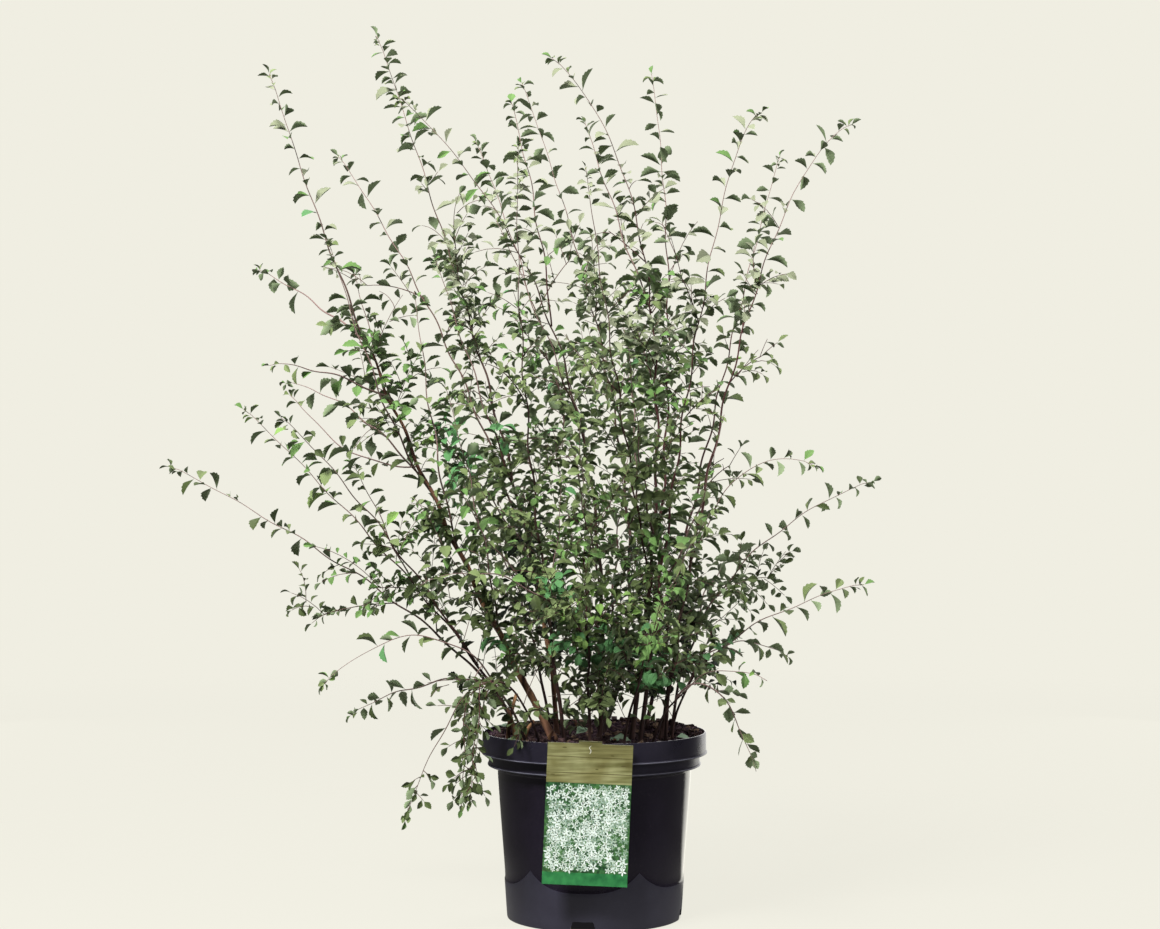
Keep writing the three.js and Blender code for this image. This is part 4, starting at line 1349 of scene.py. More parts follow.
def make_soil():
    reach = UPPER_BAND_RADIUS - POT_WALL - CLEARANCE
    angle = np.arange(SOIL_SIDES) * FULL_TURN / SOIL_SIDES
    points = [(0, 0, ground_at(0, 0))]
    for k in range(1, SOIL_RINGS + 1):
        x = reach * k / SOIL_RINGS * np.cos(angle)
        y = reach * k / SOIL_RINGS * np.sin(angle)
        points += list(zip(x, y, soil_height(x, y)))
    wall = POT_WALL + CLEARANCE
    under = [
        (UPPER_BAND_RADIUS - wall, UPPER_BAND_BOTTOM + wall),
        (LOWER_BAND_RADIUS - wall, UPPER_BAND_BOTTOM + wall),
        (LOWER_BAND_RADIUS - wall, LOWER_BAND_BOTTOM + wall),
        (BODY_TOP_RADIUS - 2 * wall, BODY_TOP + wall),
        (FOOT_RADIUS - 3 * wall, FOOT_GROOVE_HEIGHT + wall),
    ]
    for radius, height in under:
        points += [(radius * math.cos(a), radius * math.sin(a), height) for a in angle]
    faces = [(0, 1 + i, 1 + (i + 1) % SOIL_SIDES) for i in range(SOIL_SIDES)]
    last = 1 + (SOIL_RINGS - 1 + len(under)) * SOIL_SIDES
    for low in range(1, last, SOIL_SIDES):
        faces += ring_faces(low, low + SOIL_SIDES, SOIL_SIDES, flip=True)
    faces.append(tuple(last + i for i in range(SOIL_SIDES)))
    peat = soil_material("peat", (0.013, 0.007, 0.012), (0.036, 0.021, 0.030), (0.108, 0.069, 0.077), 90.0)
    settle(make_piece("soil_filling", points, faces, [peat], smooth=False), ["soil"])


BLOCK_CORNERS = np.array([(x, y, z) for z in (-1, 1) for x, y in ((-1, -1), (1, -1), (1, 1), (-1, 1))], float)
CHIP_FACES = [
    (0, 3, 2), (0, 2, 1), (4, 5, 6), (4, 6, 7), (0, 1, 5), (0, 5, 4),
    (1, 2, 6), (1, 6, 5), (2, 3, 7), (2, 7, 6), (3, 0, 4), (3, 4, 7),
]
CHIP_SEED = 41
CHIP_COUNT = 760
CHIP_SPREAD = 136
CHIP_SIZES = (1.5, 5.2)
CHIP_SUNK = 0.25
CHIP_WIDTHS = (0.45, 0.9)
CHIP_HEIGHTS = (0.3, 0.75)
CHIP_UNEVENNESS = 0.5
CHIP_TILT = 1.4
TAN_CHIP_SHARE = 0.16


def make_chips():
    """Bark chips and crumbs on the soil, each an uneven block."""
    draw = np.random.default_rng(CHIP_SEED).random
    points, faces, kinds = [], [], []
    for _ in range(CHIP_COUNT):
        radius = CHIP_SPREAD * math.sqrt(draw())
        turn = any_turn(draw)
        size = blend(*CHIP_SIZES, draw() ** 2.2)
        x, y = radius * math.cos(turn), radius * math.sin(turn)
        if math.hypot(x, y) + size > CHIP_SPREAD + 1:
            continue
        shape = BLOCK_CORNERS * (1 + CHIP_UNEVENNESS * (draw(BLOCK_CORNERS.shape) - 0.5))
        shape = shape * (size, size * blend(*CHIP_WIDTHS, draw()), size * blend(*CHIP_HEIGHTS, draw()))
        yaw, pitch = any_turn(draw), (draw() - 0.5) * CHIP_TILT
        spin = np.array([(math.cos(yaw), -math.sin(yaw), 0), (math.sin(yaw), math.cos(yaw), 0), (0, 0, 1)])
        tip = np.array([
            (math.cos(pitch), 0, math.sin(pitch)), (0, 1, 0), (-math.sin(pitch), 0, math.cos(pitch)),
        ])
        first = len(points) * len(BLOCK_CORNERS)
        points.append(shape @ tip.T @ spin.T + (x, y, ground_at(x, y) + CHIP_SUNK * size))
        faces += [tuple(first + c for c in face) for face in CHIP_FACES]
        kinds += [1 if draw() < TAN_CHIP_SHARE else 0] * len(CHIP_FACES)
    dark = ((0.018, 0.010, 0.012), (0.042, 0.025, 0.026), (0.075, 0.045, 0.042))
    tan = ((0.09, 0.055, 0.035), (0.17, 0.115, 0.08), (0.26, 0.18, 0.13))
    materials = [soil_material("dark_bark_chip", *dark, 130.0), soil_material("tan_bark_chip", *tan, 130.0)]
    chips = make_piece("bark_chips", np.concatenate(points), faces, materials, kinds, smooth=False)
    settle(chips)


# --------------------------------------------------
# Care card
HOOK_CREST = 2.4
PLANK_SHARE = 0.28
# How far down from the card's top the seams between its planks lie
PLANK_SEAMS = [16.5, 36]
GRASS_STRIP = 15
PRINT_PROUD = 0.06
INK_LINE = 0.5
PRINT_SEED = 7
PRINTED_LEAVES = 620
PRINTED_LEAF_SIZES = (3.2, 6.2)
PRINTED_LEAF_SHARE = 0.8
PRINTED_LEAF_LAYERS = (0.25, 0.6)
PRINTED_BLADE = [(0, 0), (0.35, 0.2), (0.7, 0.16), (1, 0), (0.7, -0.16), (0.35, -0.2)]
BLOSSOM_TRIES = 7000
BLOSSOM_SIZES = (2.2, 6.2)
BLOSSOM_LAYERS = (0.8, 1.4)
# How the blossoms thin out away from their drift, and how much
DRIFT_SPAN = (0.25, 0.9)
DRIFT_THINNING = 0.93
BLOSSOM_APART = 4.0
BLOSSOM_EYE = 0.4
EYE_PROUD = 0.02
BLOSSOM_CORNERS = 8
PETALS = 5
SHADED_BLOSSOM_SHARE = 0.32
# Knots in the planks: across, up, half width and half height
KNOTS = [(-31, 80, 3.0, 0.9), (27, 72, 2.6, 0.8), (41, 60, 3.4, 0.9), (-44, 47, 2.8, 0.8), (9, 55, 2.2, 0.7)]
# The crooked slit above the field, by the places of its bends
SLIT = [(0.9, 83), (-0.7, 81.5), (-0.9, 79.5), (0.6, 78), (0.9, 75.5), (-0.4, 73.5)]
SLIT_HALF_WIDTH = 0.35
PLANKS, MEADOW, STRIP, STOCK, SEAM, PETAL, EYE, BRIGHT_LEAF, DARK_LEAF, SHADED_PETAL = range(10)


def card_place(x, z, y):
    """A point of the card's own face, turned and hung as the card is."""
    return (
        CARD_CENTRE_X + x * math.cos(CARD_TILT) + z * math.sin(CARD_TILT),
        -UPPER_BAND_RADIUS - CLEARANCE - CARD_THICKNESS / 2 + y,
        CARD_CENTRE_Z - x * math.sin(CARD_TILT) + z * math.cos(CARD_TILT),
    )


def upright(half_width, low, high):
    """The corners of an upright rectangle on the card, from its lower left."""
    return [(-half_width, low), (half_width, low), (half_width, high), (-half_width, high)]


def card_materials():
    """The card's prints, in the order of their numbers. Each runs from one colour to another."""
    return [
        print_material("card_planks", (0.085, 0.077, 0.024), (0.19, 0.18, 0.07), 18.0,
                       (0.14, 0.14, 0.05), (0.29, 0.29, 0.14), 15.0),
        print_material("card_meadow", (0.008, 0.028, 0.012), (0.03, 0.11, 0.035), 240.0,
                       (0.02, 0.06, 0.02), (0.07, 0.18, 0.05)),
        print_material("card_grass_strip", (0.012, 0.1, 0.03), (0.03, 0.19, 0.055), 90.0),
        print_material("card_stock", (0.5, 0.5, 0.45), (0.62, 0.62, 0.56), 40.0),
        print_material("card_plank_seam", (0.07, 0.06, 0.02), (0.1, 0.09, 0.03), 90.0),
        print_material("card_petals", (0.46, 0.55, 0.48), (0.68, 0.74, 0.7), 160.0),
        print_material("card_blossom_eyes", (0.3, 0.36, 0.1), (0.45, 0.45, 0.15), 160.0),
        print_material("card_bright_leaves", (0.03, 0.12, 0.035), (0.10, 0.24, 0.07), 120.0),
        print_material("card_dark_leaves", (0.006, 0.03, 0.013), (0.02, 0.07, 0.027), 120.0),
        print_material("card_shaded_petals", (0.17, 0.27, 0.19), (0.34, 0.44, 0.36), 160.0),
    ]


class Card:
    """The card with its print as fields of its own, the hook over the rim and small printed blossoms."""

    def __init__(self):
        self.points, self.faces, self.kinds = [], [], []
        self.front, self.back = -CARD_THICKNESS / 2, CARD_THICKNESS / 2
        self.line_layer = self.front - PRINT_PROUD / 2
        self.half_width, self.top = CARD_WIDTH / 2, CARD_HEIGHT / 2
        self.seam = self.top - PLANK_SHARE * CARD_HEIGHT
        self.strip = -self.top + GRASS_STRIP
        self.centre = (self.seam + self.strip) / 2
        self.draw = np.random.default_rng(PRINT_SEED).random

    def field(self, corners, kind):
        first = len(self.points)
        self.points.extend(corners)
        self.faces.append(tuple(range(first, first + len(corners))))
        self.kinds.append(kind)

    def flat(self, corners, layer, kind):
        self.field([card_place(x, z, layer) for x, z in corners], kind)

    def turned_shape(self, outline, x, z, size, turn, layer, kind):
        """A small printed shape, turned about its own foot."""
        cos, sin = math.cos(turn), math.sin(turn)
        corners = [(x + size * (u * cos - v * sin), z + size * (u * sin + v * cos)) for u, v in outline]
        self.flat(corners, layer, kind)

    def add_sheet(self):
        """The card itself: its fields from top to bottom, its back and its four edges."""
        lines = [self.top] + [self.top - down for down in PLANK_SEAMS] + [self.seam, self.strip, -self.top]
        for high, low, kind in zip(lines, lines[1:], (PLANKS, PLANKS, PLANKS, MEADOW, STRIP)):
            self.flat(upright(self.half_width, low, high), self.front, kind)
        outline = upright(self.half_width, -self.top, self.top)
        self.flat([outline[i] for i in (1, 0, 3, 2)], self.back, STOCK)
        for start, end in zip(outline, outline[1:] + outline[:1]):
            corners = (start, self.back), (end, self.back), (end, self.front), (start, self.front)
            self.field([card_place(*place, layer) for place, layer in corners], STOCK)
        for line in lines[1:3]:
            self.flat(upright(self.half_width, line - INK_LINE, line + INK_LINE), self.line_layer, SEAM)

    def add_leaves(self):
        for k in range(PRINTED_LEAVES):
            x = blend(-self.half_width + 5.5, self.half_width - 5.5, self.draw())
            z = blend(self.strip + 5, self.seam - 5.5, self.draw())
            size = blend(*PRINTED_LEAF_SIZES, self.draw()) * PRINTED_LEAF_SHARE
            turn = any_turn(self.draw)
            layer = self.front - PRINT_PROUD * blend(*PRINTED_LEAF_LAYERS, self.draw())
            self.turned_shape(PRINTED_BLADE, x, z, size, turn, layer, (BRIGHT_LEAF, DARK_LEAF)[k % 2])

    def off_the_drift(self, x, z):
        """How far a place lies from the diagonal drift of blossoms, as a share of half the field."""
        up = 0.8 * (z - self.centre) / (self.seam - self.centre)
        return abs(0.55 * x / self.half_width - up + 0.12 * math.sin(x / 7 + z / 11))

    def add_blossoms(self):
        centres = []
        for _ in range(BLOSSOM_TRIES):
            x = blend(-self.half_width + 3.6, self.half_width - 3.6, self.draw())
            z = blend(self.strip + 2.6, self.seam - 3.6, self.draw())
            away = float(smooth_step(self.off_the_drift(x, z), *DRIFT_SPAN))
            likely = self.draw() < 1 - DRIFT_THINNING * away
            if likely and all(math.hypot(x - a, z - b) > BLOSSOM_APART for a, b in centres):
                centres.append((x, z))
        turns = np.arange(BLOSSOM_CORNERS) * FULL_TURN / BLOSSOM_CORNERS
        petal = [(0.55 + 0.45 * math.cos(t), 0.19 * math.sin(t)) for t in turns]
        for x, z in centres:
            size, spin = blend(*BLOSSOM_SIZES, self.draw() ** 1.3), any_turn(self.draw)
            size = min(size, self.half_width - abs(x) - 0.2, self.seam - z - 0.2, z - self.strip + 2)
            layer = self.front - PRINT_PROUD * blend(*BLOSSOM_LAYERS, self.draw())
            tint = SHADED_PETAL if self.draw() < SHADED_BLOSSOM_SHARE else PETAL
            for i in range(PETALS):
                self.turned_shape(petal, x, z, size, spin + i * FULL_TURN / PETALS, layer, tint)
            eye = [(x + BLOSSOM_EYE * math.cos(t), z + BLOSSOM_EYE * math.sin(t)) for t in turns]
            self.flat(eye, layer - EYE_PROUD, EYE)
        for x, z, wide, tall in KNOTS:
            knot = [(x + wide * math.cos(t), z + tall * math.sin(t)) for t in turns]
            self.flat(knot, self.line_layer, SEAM)

    def add_slit(self):
        half = SLIT_HALF_WIDTH
        for (x0, z0), (x1, z1) in zip(SLIT, SLIT[1:]):
            line = [(x0 - half, z0), (x1 - half, z1), (x1 + half, z1), (x0 + half, z0)]
            self.flat(line, self.line_layer, STOCK)

    def add_hook(self):
        """The strap that runs up, over the rim and down behind it."""
        half = CARD_THICKNESS / 2
        lip = -UPPER_BAND_RADIUS + POT_WALL + CARD_HOOK_INSET
        inner = lip + UPPER_BAND_RADIUS + CLEARANCE + half
        crest = self.top + HOOK_CREST
        x = CARD_HOOK_WIDTH / 2
        for low, near, far in (
            (self.top - 0.01, self.front, self.back),
            (crest - CARD_THICKNESS, self.front, inner + half),
            (self.top + 2 - CARD_HOOK_DROP, inner - half, inner + half),
        ):
            c = [card_place(a, b, d) for d in (near, far) for b in (low, crest) for a in (-x, x)]
            for face in ((0, 1, 3, 2), (5, 4, 6, 7), (4, 0, 2, 6), (1, 5, 7, 3), (2, 3, 7, 6), (4, 5, 1, 0)):
                self.field([c[i] for i in face], PLANKS)


def make_care_card():
    card = Card()
    card.add_sheet()
    card.add_leaves()
    card.add_blossoms()
    card.add_slit()
    card.add_hook()
    piece = make_piece("care_card_print", card.points, card.faces, card_materials(), card.kinds, smooth=False)
    settle(piece, ["care_card"])


# --------------------------------------------------
# Growing the plant
TINTS = ["deep", "mid", "fresh", "young"]
TINT_STEPS = [0.3, 0.7, 1.02]
LEAF_COLOURS = {
    "deep": (0.055, 0.075, 0.027),
    "mid": (0.130, 0.170, 0.068),
    "fresh": (0.105, 0.192, 0.058),
    "young": (0.17, 0.285, 0.075),
    # sage: paler and greyer, painted light on high leaves
    "sage": (0.208, 0.228, 0.146),
    "emerald": (0.072, 0.178, 0.066),
    "shade": (0.017, 0.025, 0.016),
}
# How leaves stand: degrees off the twig, droop, degrees of fold along the midrib, and width
STANCES = {
    "single": ((46, 86), (0.3, 1.3), (12, 54), (0.85, 1.15)),
    "shoot": ((38, 76), (0.25, 1.4), (8, 50), (0.9, 1.3)),
    "hanging": ((20, 60), (0.1, 0.7), (4, 40), (0.85, 1.2)),
    "open": ((40, 70), (0.1, 0.6), (4, 20), (1.1, 1.35)),
}
# Leaves along each kind of twig: how far apart, and how long
LONG_TWIG_LEAVES = (TWIG_LEAF_SPACING, BLADE_LONGEST)
CARRY_LEAVES = (TWIG_LEAF_SPACING, BLADE_LONGEST * CARRY_BLADE_SHARE)
FORK_LEAVES = (SHOOT_LEAF_SPACING, BLADE_LONGEST * CARRY_BLADE_SHARE)
SHOOT_LEAVES = (SHOOT_LEAF_SPACING, BLADE_LONGEST * SHOOT_BLADE_SHARE)
# Finishes of twigs and stems, and of the canes' bark
RED_TWIG, GREY_TWIG, YOUNG_TWIG = 0, 1, 2
BROWN_BARK, TAN_BARK = 0, 1


def plan_filler(number, row, canes):
    parent_name, place, bend, tip, thickness = row
    parent = next(cane for cane in canes if cane["name"] == parent_name)
    root = parent["whole"].point_at(place)
    return {
        "name": f"filler_{number}", "parent": parent_name, "root": root, "curve": Curve(root, bend, tip),
        "start_radius": thickness / 2,
    }


def seen_from_front(place):
    """Where a place lies across and in height, seen from the front."""
    nearer = -VIEWING_PLACE[1] / (place[1] - VIEWING_PLACE[1])
    across = VIEWING_PLACE[0] + (place[0] - VIEWING_PLACE[0]) * nearer
    return across, VIEWING_PLACE[2] + (place[2] - VIEWING_PLACE[2]) * nearer


def fullness_at(place):
    """How full the crown is at a place, by where the place lies seen from the front."""
    across, height = seen_from_front(place)
    for x, z, reach, share in FULL_PLACES:
        if math.hypot(across - x, height - z) < reach:
            return share
    return 1


def stem_line(curve, phase, tip_run_on):
    """Points along a limb, with a slight waver that is nothing at its foot and its tip."""
    count = max(4, int(curve.length / LINE_STEP))
    shares = np.linspace(0.0, 1.0, count + 1)
    points = np.array([curve.point_at(s) for s in shares])
    sway = np.sin(math.pi * shares)[:, None] * WOBBLE
    side = unit(np.cross(curve.tangent_at(0.5), BACKWARD))
    other = np.cross(curve.tangent_at(0.5), side)
    pitch = curve.length / WAVER_LENGTH
    waver = np.sin(FULL_TURN * pitch * shares + phase)[:, None] * side
    waver = waver + np.cos(FULL_TURN * pitch * SIDE_WAVER * shares + 2 * phase)[:, None] * other
    points = points + sway * waver
    run_on = curve.tangent_at(1) + np.array([0, 0, -TIP_NOD])
    points = np.concatenate([points, [points[-1] + run_on * tip_run_on * part for part in (0.5, 1)]])
    shares = np.append(shares, [1 + tip_run_on * part / curve.length for part in (0.5, 1)])
    return shares, points


def point_on(spray, share):
    """A point of the spray's wavering stem, at a share of its whole length."""
    return np.array([np.interp(share, spray["shares"], spray["line"][:, k]) for k in range(3)])


class Plant:
    """The canes, forks and boughs, and the bark, twigs and leaves that have grown on them so far."""

    def __init__(self):
        self.canes = [plan_cane(row) for row in CANES]
        self.sprays = self.canes + [plan_fork(row, self.canes) for row in FORKS]
        self.fillers = [plan_filler(i, row, self.canes) for i, row in enumerate(FILLERS)]
        limbs = [(cane["stem"], cane["foot_radius"]) for cane in self.canes]
        limbs += [(spray["curve"], spray["start_radius"]) for spray in self.sprays]
        self.spaces = Spaces(limbs)
        self.bark = Tubes()
        self.twigs = Tubes()
        self.leaves = {tint: Leaves() for tint in LEAF_COLOURS}
        self.boxes = {}
        # Whether the twig that the next growth stands on has grown itself
        self.carried = True

    def inside(self, spray, *points):
        """Whether points are within the reach of the spray's solid, and clear of the pot."""
        points = np.array(points)
        low, high = self.boxes[spray["name"]]
        return bool(((points > low) & (points < high)).all() and clear_of_pot(points).all())

    def leaf(self, spray, place, along, azimuth, length, draw, tint, lean=None, stance="shoot"):
        """One leaf on a short stalk: it leans off its twig, faces up and droops to its tip."""
        leans, droops, folds, widths = STANCES[spray["stance"] or stance]
        lean = blend(*leans, draw()) * DEGREE if lean is None else lean
        roll = any_way(draw)
        direction = leaning(along, azimuth, lean)
        across, face = leaf_frame(along, direction, roll, FINE_LEAF_ROLL)
        if face[2] < 0:
            across, face = -across, -face
        droop = blend(*droops, draw())
        fold = blend(*folds, draw()) * DEGREE
        twist = (draw() - 0.5) * LEAF_TWIST
        width = blend(*widths, draw())
        length *= HANGING_BLADE_SHARE if spray["stance"] == "hanging" else 1
        length *= EMERALD_BLADE if tint == "emerald" and stance != "single" else 1
        length *= blend(1, NEAR_BLADE_SHARE, float(smooth_step(-place[1], *NEAR_SPAN)))
        tip = place + direction * length * LEAF_TIP_AHEAD - face * length * LEAF_TIP_DOWN
        middle = place + direction * length * LEAF_MIDDLE
        if draw() > fullness_at(place) or not self.inside(spray, tip, middle):
            return
        if self.carried:
            self.leaves[tint].add(place, direction, across, face, length, droop, fold, twist, width)

    def twig(self, spray, start, end, radii, draw, tint, spacing, blade):
        """A side twig: a light arch with leaves in turn on its sides and one at its end. True if it grew."""
        if draw() > fullness_at(blend(start, end, TWIG_JUDGED_AT)):
            return False
        small = blend(LOW_LEAF_SHARE, 1, float(smooth_step(start[2], *LOW_LEAF_HEIGHTS)))
        spacing, blade = spacing * small, blade * small
        run = end - start
        length = np.linalg.norm(run)
        bow = unit(np.cross(run / length, any_way(draw))) * length * TWIG_SAG * draw()
        bow = bow + UP * length * TWIG_SAG
        steps = max(3, int(length / TWIG_STEP) + 1)
        shares = np.linspace(0, 1, steps + 1)
        line = start + shares[:, None] * run + (4 * shares * (1 - shares))[:, None] * bow
        if self.carried:
            self.twigs.add(line, [blend(*radii, s) for s in shares], TWIG_SIDES, spray["twig_kind"])
        azimuth = any_turn(draw)
        reached = spacing * blend(*FIRST_LEAF_PLAY, draw())
        while reached < length - LEAFLESS_END * spacing:
            s = reached / length
            place = start + s * run + 4 * s * (1 - s) * bow
            along = unit(run + 4 * (1 - 2 * s) * bow)
            size = blade * blend(*TWIG_LEAF_SIZES, draw()) * blend(1, LAST_LEAF_SHARE, s)
            self.leaf(spray, place, along, azimuth, size, draw, tint)
            azimuth += math.pi + (draw() - 0.5) * SIDE_PLAY
            reached += spacing * blend(*TWIG_LEAF_PLAY, draw())
        along = unit(run - 4 * bow)
        lean = blend(*END_LEAF_LEANS, draw()) * DEGREE
        self.leaf(spray, line[-1], along, azimuth, blade * END_LEAF_SIZE, draw, tint, lean=lean)
        return True

    def tint(self, spray, place, draw, left=FAR_FROM_TIP):
        """A shoot's tint. Sprays lean to one. Shoots deep in the crown and low in its middle are darker, as
        painted shade; shoots in lit places are brighter and high ones greyer and paler, as painted light.
        """
        depth = np.hypot(place[0] - CROWN_CENTRE, place[1]) / CROWN_REACH
        # Painted shade: shoots nearer the crown's centre pick darker tints, and outer ones lighter
        pick = draw() + spray["bright"] + DEPTH_LIFT * (min(depth, 1) - 0.5)
        # Painted light: shoots in lit places pick brighter tints
        if any(np.linalg.norm(place - np.array(spot)) < reach for spot, reach in LIT_PLACES):
            pick += LIT_PLACE_LIFT
        # Painted shade in the crown's low middle and back
        in_shaded_base = place[2] < DARK_BASE_TOP and place[1] > DARK_BASE_FRONT
        if in_shaded_base:
            pick -= DARK_BASE_DROP
        tint = TINTS[int(np.searchsorted(TINT_STEPS, pick))]
        # Painted light: high up, tints turn paler and greyer
        high = smooth_step(place[2], *SAGE_HEIGHTS)
        if tint in ("deep", "mid") and draw() < high * smooth_step(left, *SAGE_FROM_TIP):
            tint = "sage"
        if tint == "young" and draw() < HIGH_YOUNG_FADE * high:
            tint = "fresh"
        if tint == "fresh" and draw() < HIGH_FRESH_FADE * high:
            tint = "sage"
        across, height = seen_from_front(place)
        tufted = any(math.hypot(across - x, height - z) < reach for x, z, reach in EMERALD_PLACES)
        if tufted and place[1] < EMERALD_BACK or tint == "fresh" and draw() < EMERALD_SHARE * (1 - high):
            tint = "emerald"
        if place[1] < DULL_FRONT and tint in ("fresh", "young", "emerald"):
            tint = "mid"
        dark = in_shaded_base and tint in ("deep", "mid")
        if dark and draw() < SHADE_SHARE and depth < SHADE_DEPTH and place[1] > SHADE_FRONT:
            tint = "shade"
        if spray["stance"] == "open":
            tint = "deep" if draw() < OPEN_DEEP_SHARE else "mid"
        return tint

    def grow(self):
        for index, spray in enumerate(self.sprays + self.fillers):
            low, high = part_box("spray_" + spray.get("parent", spray["name"]))
            low, high = np.array(low) / MM - BOX_SPARE, np.array(high) / MM + BOX_SPARE
            if "parent" in spray:
                low = np.minimum(low, spray["curve"].corners.min(0) - FILLER_SPARE)
                high = np.maximum(high, spray["curve"].corners.max(0) + FILLER_SPARE)
            self.boxes[spray["name"]] = (low, high)
            draw = seeded(FINE_SEED + index)
            spray["fullness"] = FULLNESS.get(spray["name"], FILLER_FULLNESS if "parent" in spray else 1)
            family = spray.get("parent", spray["name"])
            spray["stance"] = "hanging" if family in HANGING else "open" if family in OPEN_LEAVED else None
            spray["bright"] = (draw() - 0.5) * BRIGHT_SPREAD - DULLNESS.get(family, 0)
            spray["twig_kind"] = RED_TWIG if draw() < RED_TWIG_SHARE else GREY_TWIG
            spray["run_on"] = TIP_RUN_ONS.get(spray["name"], TIP_RUN_ON)
            self.grow_stem(spray, draw)
            if "stem" in spray:
                self.grow_low_shoots(spray, draw)
            if "parent" not in spray:
                self.grow_twigs(spray, index, draw)
            self.grow_nodes(spray, draw)

    def grow_stem(self, spray, draw):
        """The bare stem with bark relief, and the thinner stem that carries it on through its leaves."""
        phase = draw() * 6
        whole = spray.get("whole")
        if whole is None:
            whole = Curve(spray["root"], spray["curve"].corners[1], spray["curve"].corners[2])
        shares, line = stem_line(whole, phase, spray["run_on"])
        left = np.clip(1 - shares, 0, 1)
        if "stem" in spray:
            foot = spray["foot_radius"]
            taper = STOUT_TAPER if foot > STOUT_RADIUS else THIN_TAPER
            radii = STEM_TIP_RADIUS + (foot * STEM_SLIMNESS - STEM_TIP_RADIUS) * left**taper
            flare = 1 + FOOT_FLARE * np.exp(-shares * whole.length / FOOT_FLARE_LENGTH)
            split = int(np.searchsorted(shares, spray["bare"]))
            self.bark_tube(line[: split + 1], (radii * flare)[: split + 1], draw, spray["name"])
        else:
            split = 0
            radii = STEM_TIP_RADIUS + (spray["start_radius"] * STEM_SLIMNESS - STEM_TIP_RADIUS) * left
        young = 0 if spray["stance"] == "hanging" else YOUNG_WOOD
        lefts = (1 - shares[split + 1 :]) * whole.length
        kinds = [YOUNG_TWIG if length < young else spray["twig_kind"] for length in lefts]
        self.twigs.add(line[split:], radii[split:], STEM_SIDES, kinds)
        spray["line"] = line
        spray["shares"] = shares
        spray["full"] = whole

    def bark_tube(self, line, radii, draw, name):
        """A cane with ridges, swollen nodes and a foot sunk in the soil."""
        sides = STOUT_CANE_SIDES if radii[0] > STOUT_CANE_RADIUS else THIN_CANE_SIDES
        ridges = np.array([draw() for _ in range(sides)])
        relief = np.ones((len(line), sides))
        for i in range(len(line)):
            drift = np.array([math.sin(RIDGE_PITCH * i + 5 * r) for r in ridges])
            node = max(0, math.sin(NODE_PITCH * i + ridges[0] * 6)) ** 8
            relief[i] = 1 + RIDGE_RISE * (ridges - 0.5) + RIDGE_DRIFT * drift + NODE_SWELL * node
        line = line.copy()
        line[0, 2] -= CANE_SUNK
        self.bark.add(line, radii, sides, TAN_BARK if name in TAN_CANES else BROWN_BARK, relief)

    def grow_low_shoots(self, spray, draw):
        """Leafy shoots on the upper part of a cane's bare stem."""
        stem = spray["stem"]
        box = self.boxes[spray["name"]]
        low = np.minimum(box[0], stem.corners.min(0) - LOW_SHOOT_ROOM)
        high = np.maximum(box[1], stem.corners.max(0) + LOW_SHOOT_ROOM)
        self.boxes[spray["name"]] = (low, high)
        azimuth = any_turn(draw)
        reached = LOW_SHOOT_STARTS.get(spray["name"], LOW_SHOOT_START) * stem.length
        while reached < stem.length:
            place = point_on(spray, reached / spray["full"].length)
            along = stem.tangent_at(reached / stem.length)
            reach = blend(*LOW_SHOOT_LENGTHS, draw())
            tip = place + leaning(along, azimuth, blend(*LOW_SHOOT_LEANS, draw()) * DEGREE) * reach
            if self.inside(spray, tip):
                tint = self.tint(spray, place, draw)
                self.carried = self.twig(spray, place, tip, FINE_RADII, draw, tint, *LONG_TWIG_LEAVES)
                self.fork_twig(spray, place, tip, draw, tint, LOW_SHOOT_FORKS)
                self.carried = True
            azimuth += GOLDEN_ANGLE
            reached += LOW_SHOOT_SPACING * blend(*LOW_SHOOT_PLAY, draw()) / min(spray["fullness"], 1)
        self.boxes[spray["name"]] = box

    def grow_twigs(self, spray, index, draw):
        """The solids' own side twigs, with finer twigs off them."""
        limb = len(self.canes) + index
        for start, end in shoots_of(spray["curve"], self.spaces, limb, index + 1):
            end = start + (end - start) * blend(LEAST_TWIG, 1, min(spray["fullness"], 1))
            tint = self.tint(spray, end, draw)
            self.carried = self.twig(spray, start, end, STRONG_RADII, draw, tint, *LONG_TWIG_LEAVES)
            self.fork_twig(spray, start, end, draw, tint, TWIG_FORKS)
            heading = unit(end - start)
            age = np.linalg.norm(spray["curve"].corners[2] - start) / spray["curve"].length
            carry = blend(CARRY_SHORTEST, CARRY_LONGEST * age, draw()) * spray["fullness"]
            rise = unit(heading + UP * CARRY_RISE + any_way(draw) * CARRY_PLAY)
            for reach in TWIG_REACHES:
                tip = end + rise * carry * reach
                if self.inside(spray, tip):
                    grew = self.twig(spray, end, tip, FINE_RADII, draw, tint, *CARRY_LEAVES)
                    self.carried = self.carried and grew
                    self.fork_twig(spray, end, tip, draw, tint, CARRY_FORKS)
                    break
            self.carried = True

    def fork_twig(self, spray, start, end, draw, tint, shares):
        """Short leafy twigs in turn on the two sides of a longer one."""
        length = np.linalg.norm(end - start)
        heading = unit(end - start)
        side = any_turn(draw)
        for share in shares:
            if length < FORKED_SHORTEST or draw() < FORKLESS_SHARE:
                continue
            reach = blend(*FORK_LENGTHS, draw())
            side += math.pi + (draw() - 0.5)
            branch = start + (end - start) * share
            tip = branch + leaning(heading, side, FORK_LEAN) * reach
            if self.inside(spray, tip):
                self.twig(spray, branch, tip, FINE_RADII, draw, tint, *FORK_LEAVES)

    def place_on(self, spray, share):
        """A point and direction of the spray's wavering stem, at a share of its leafy curve."""
        whole = spray["full"]
        start = whole.length - spray["curve"].length
        at = (start + share * spray["curve"].length) / whole.length
        return point_on(spray, at), whole.tangent_at(min(at, 1))

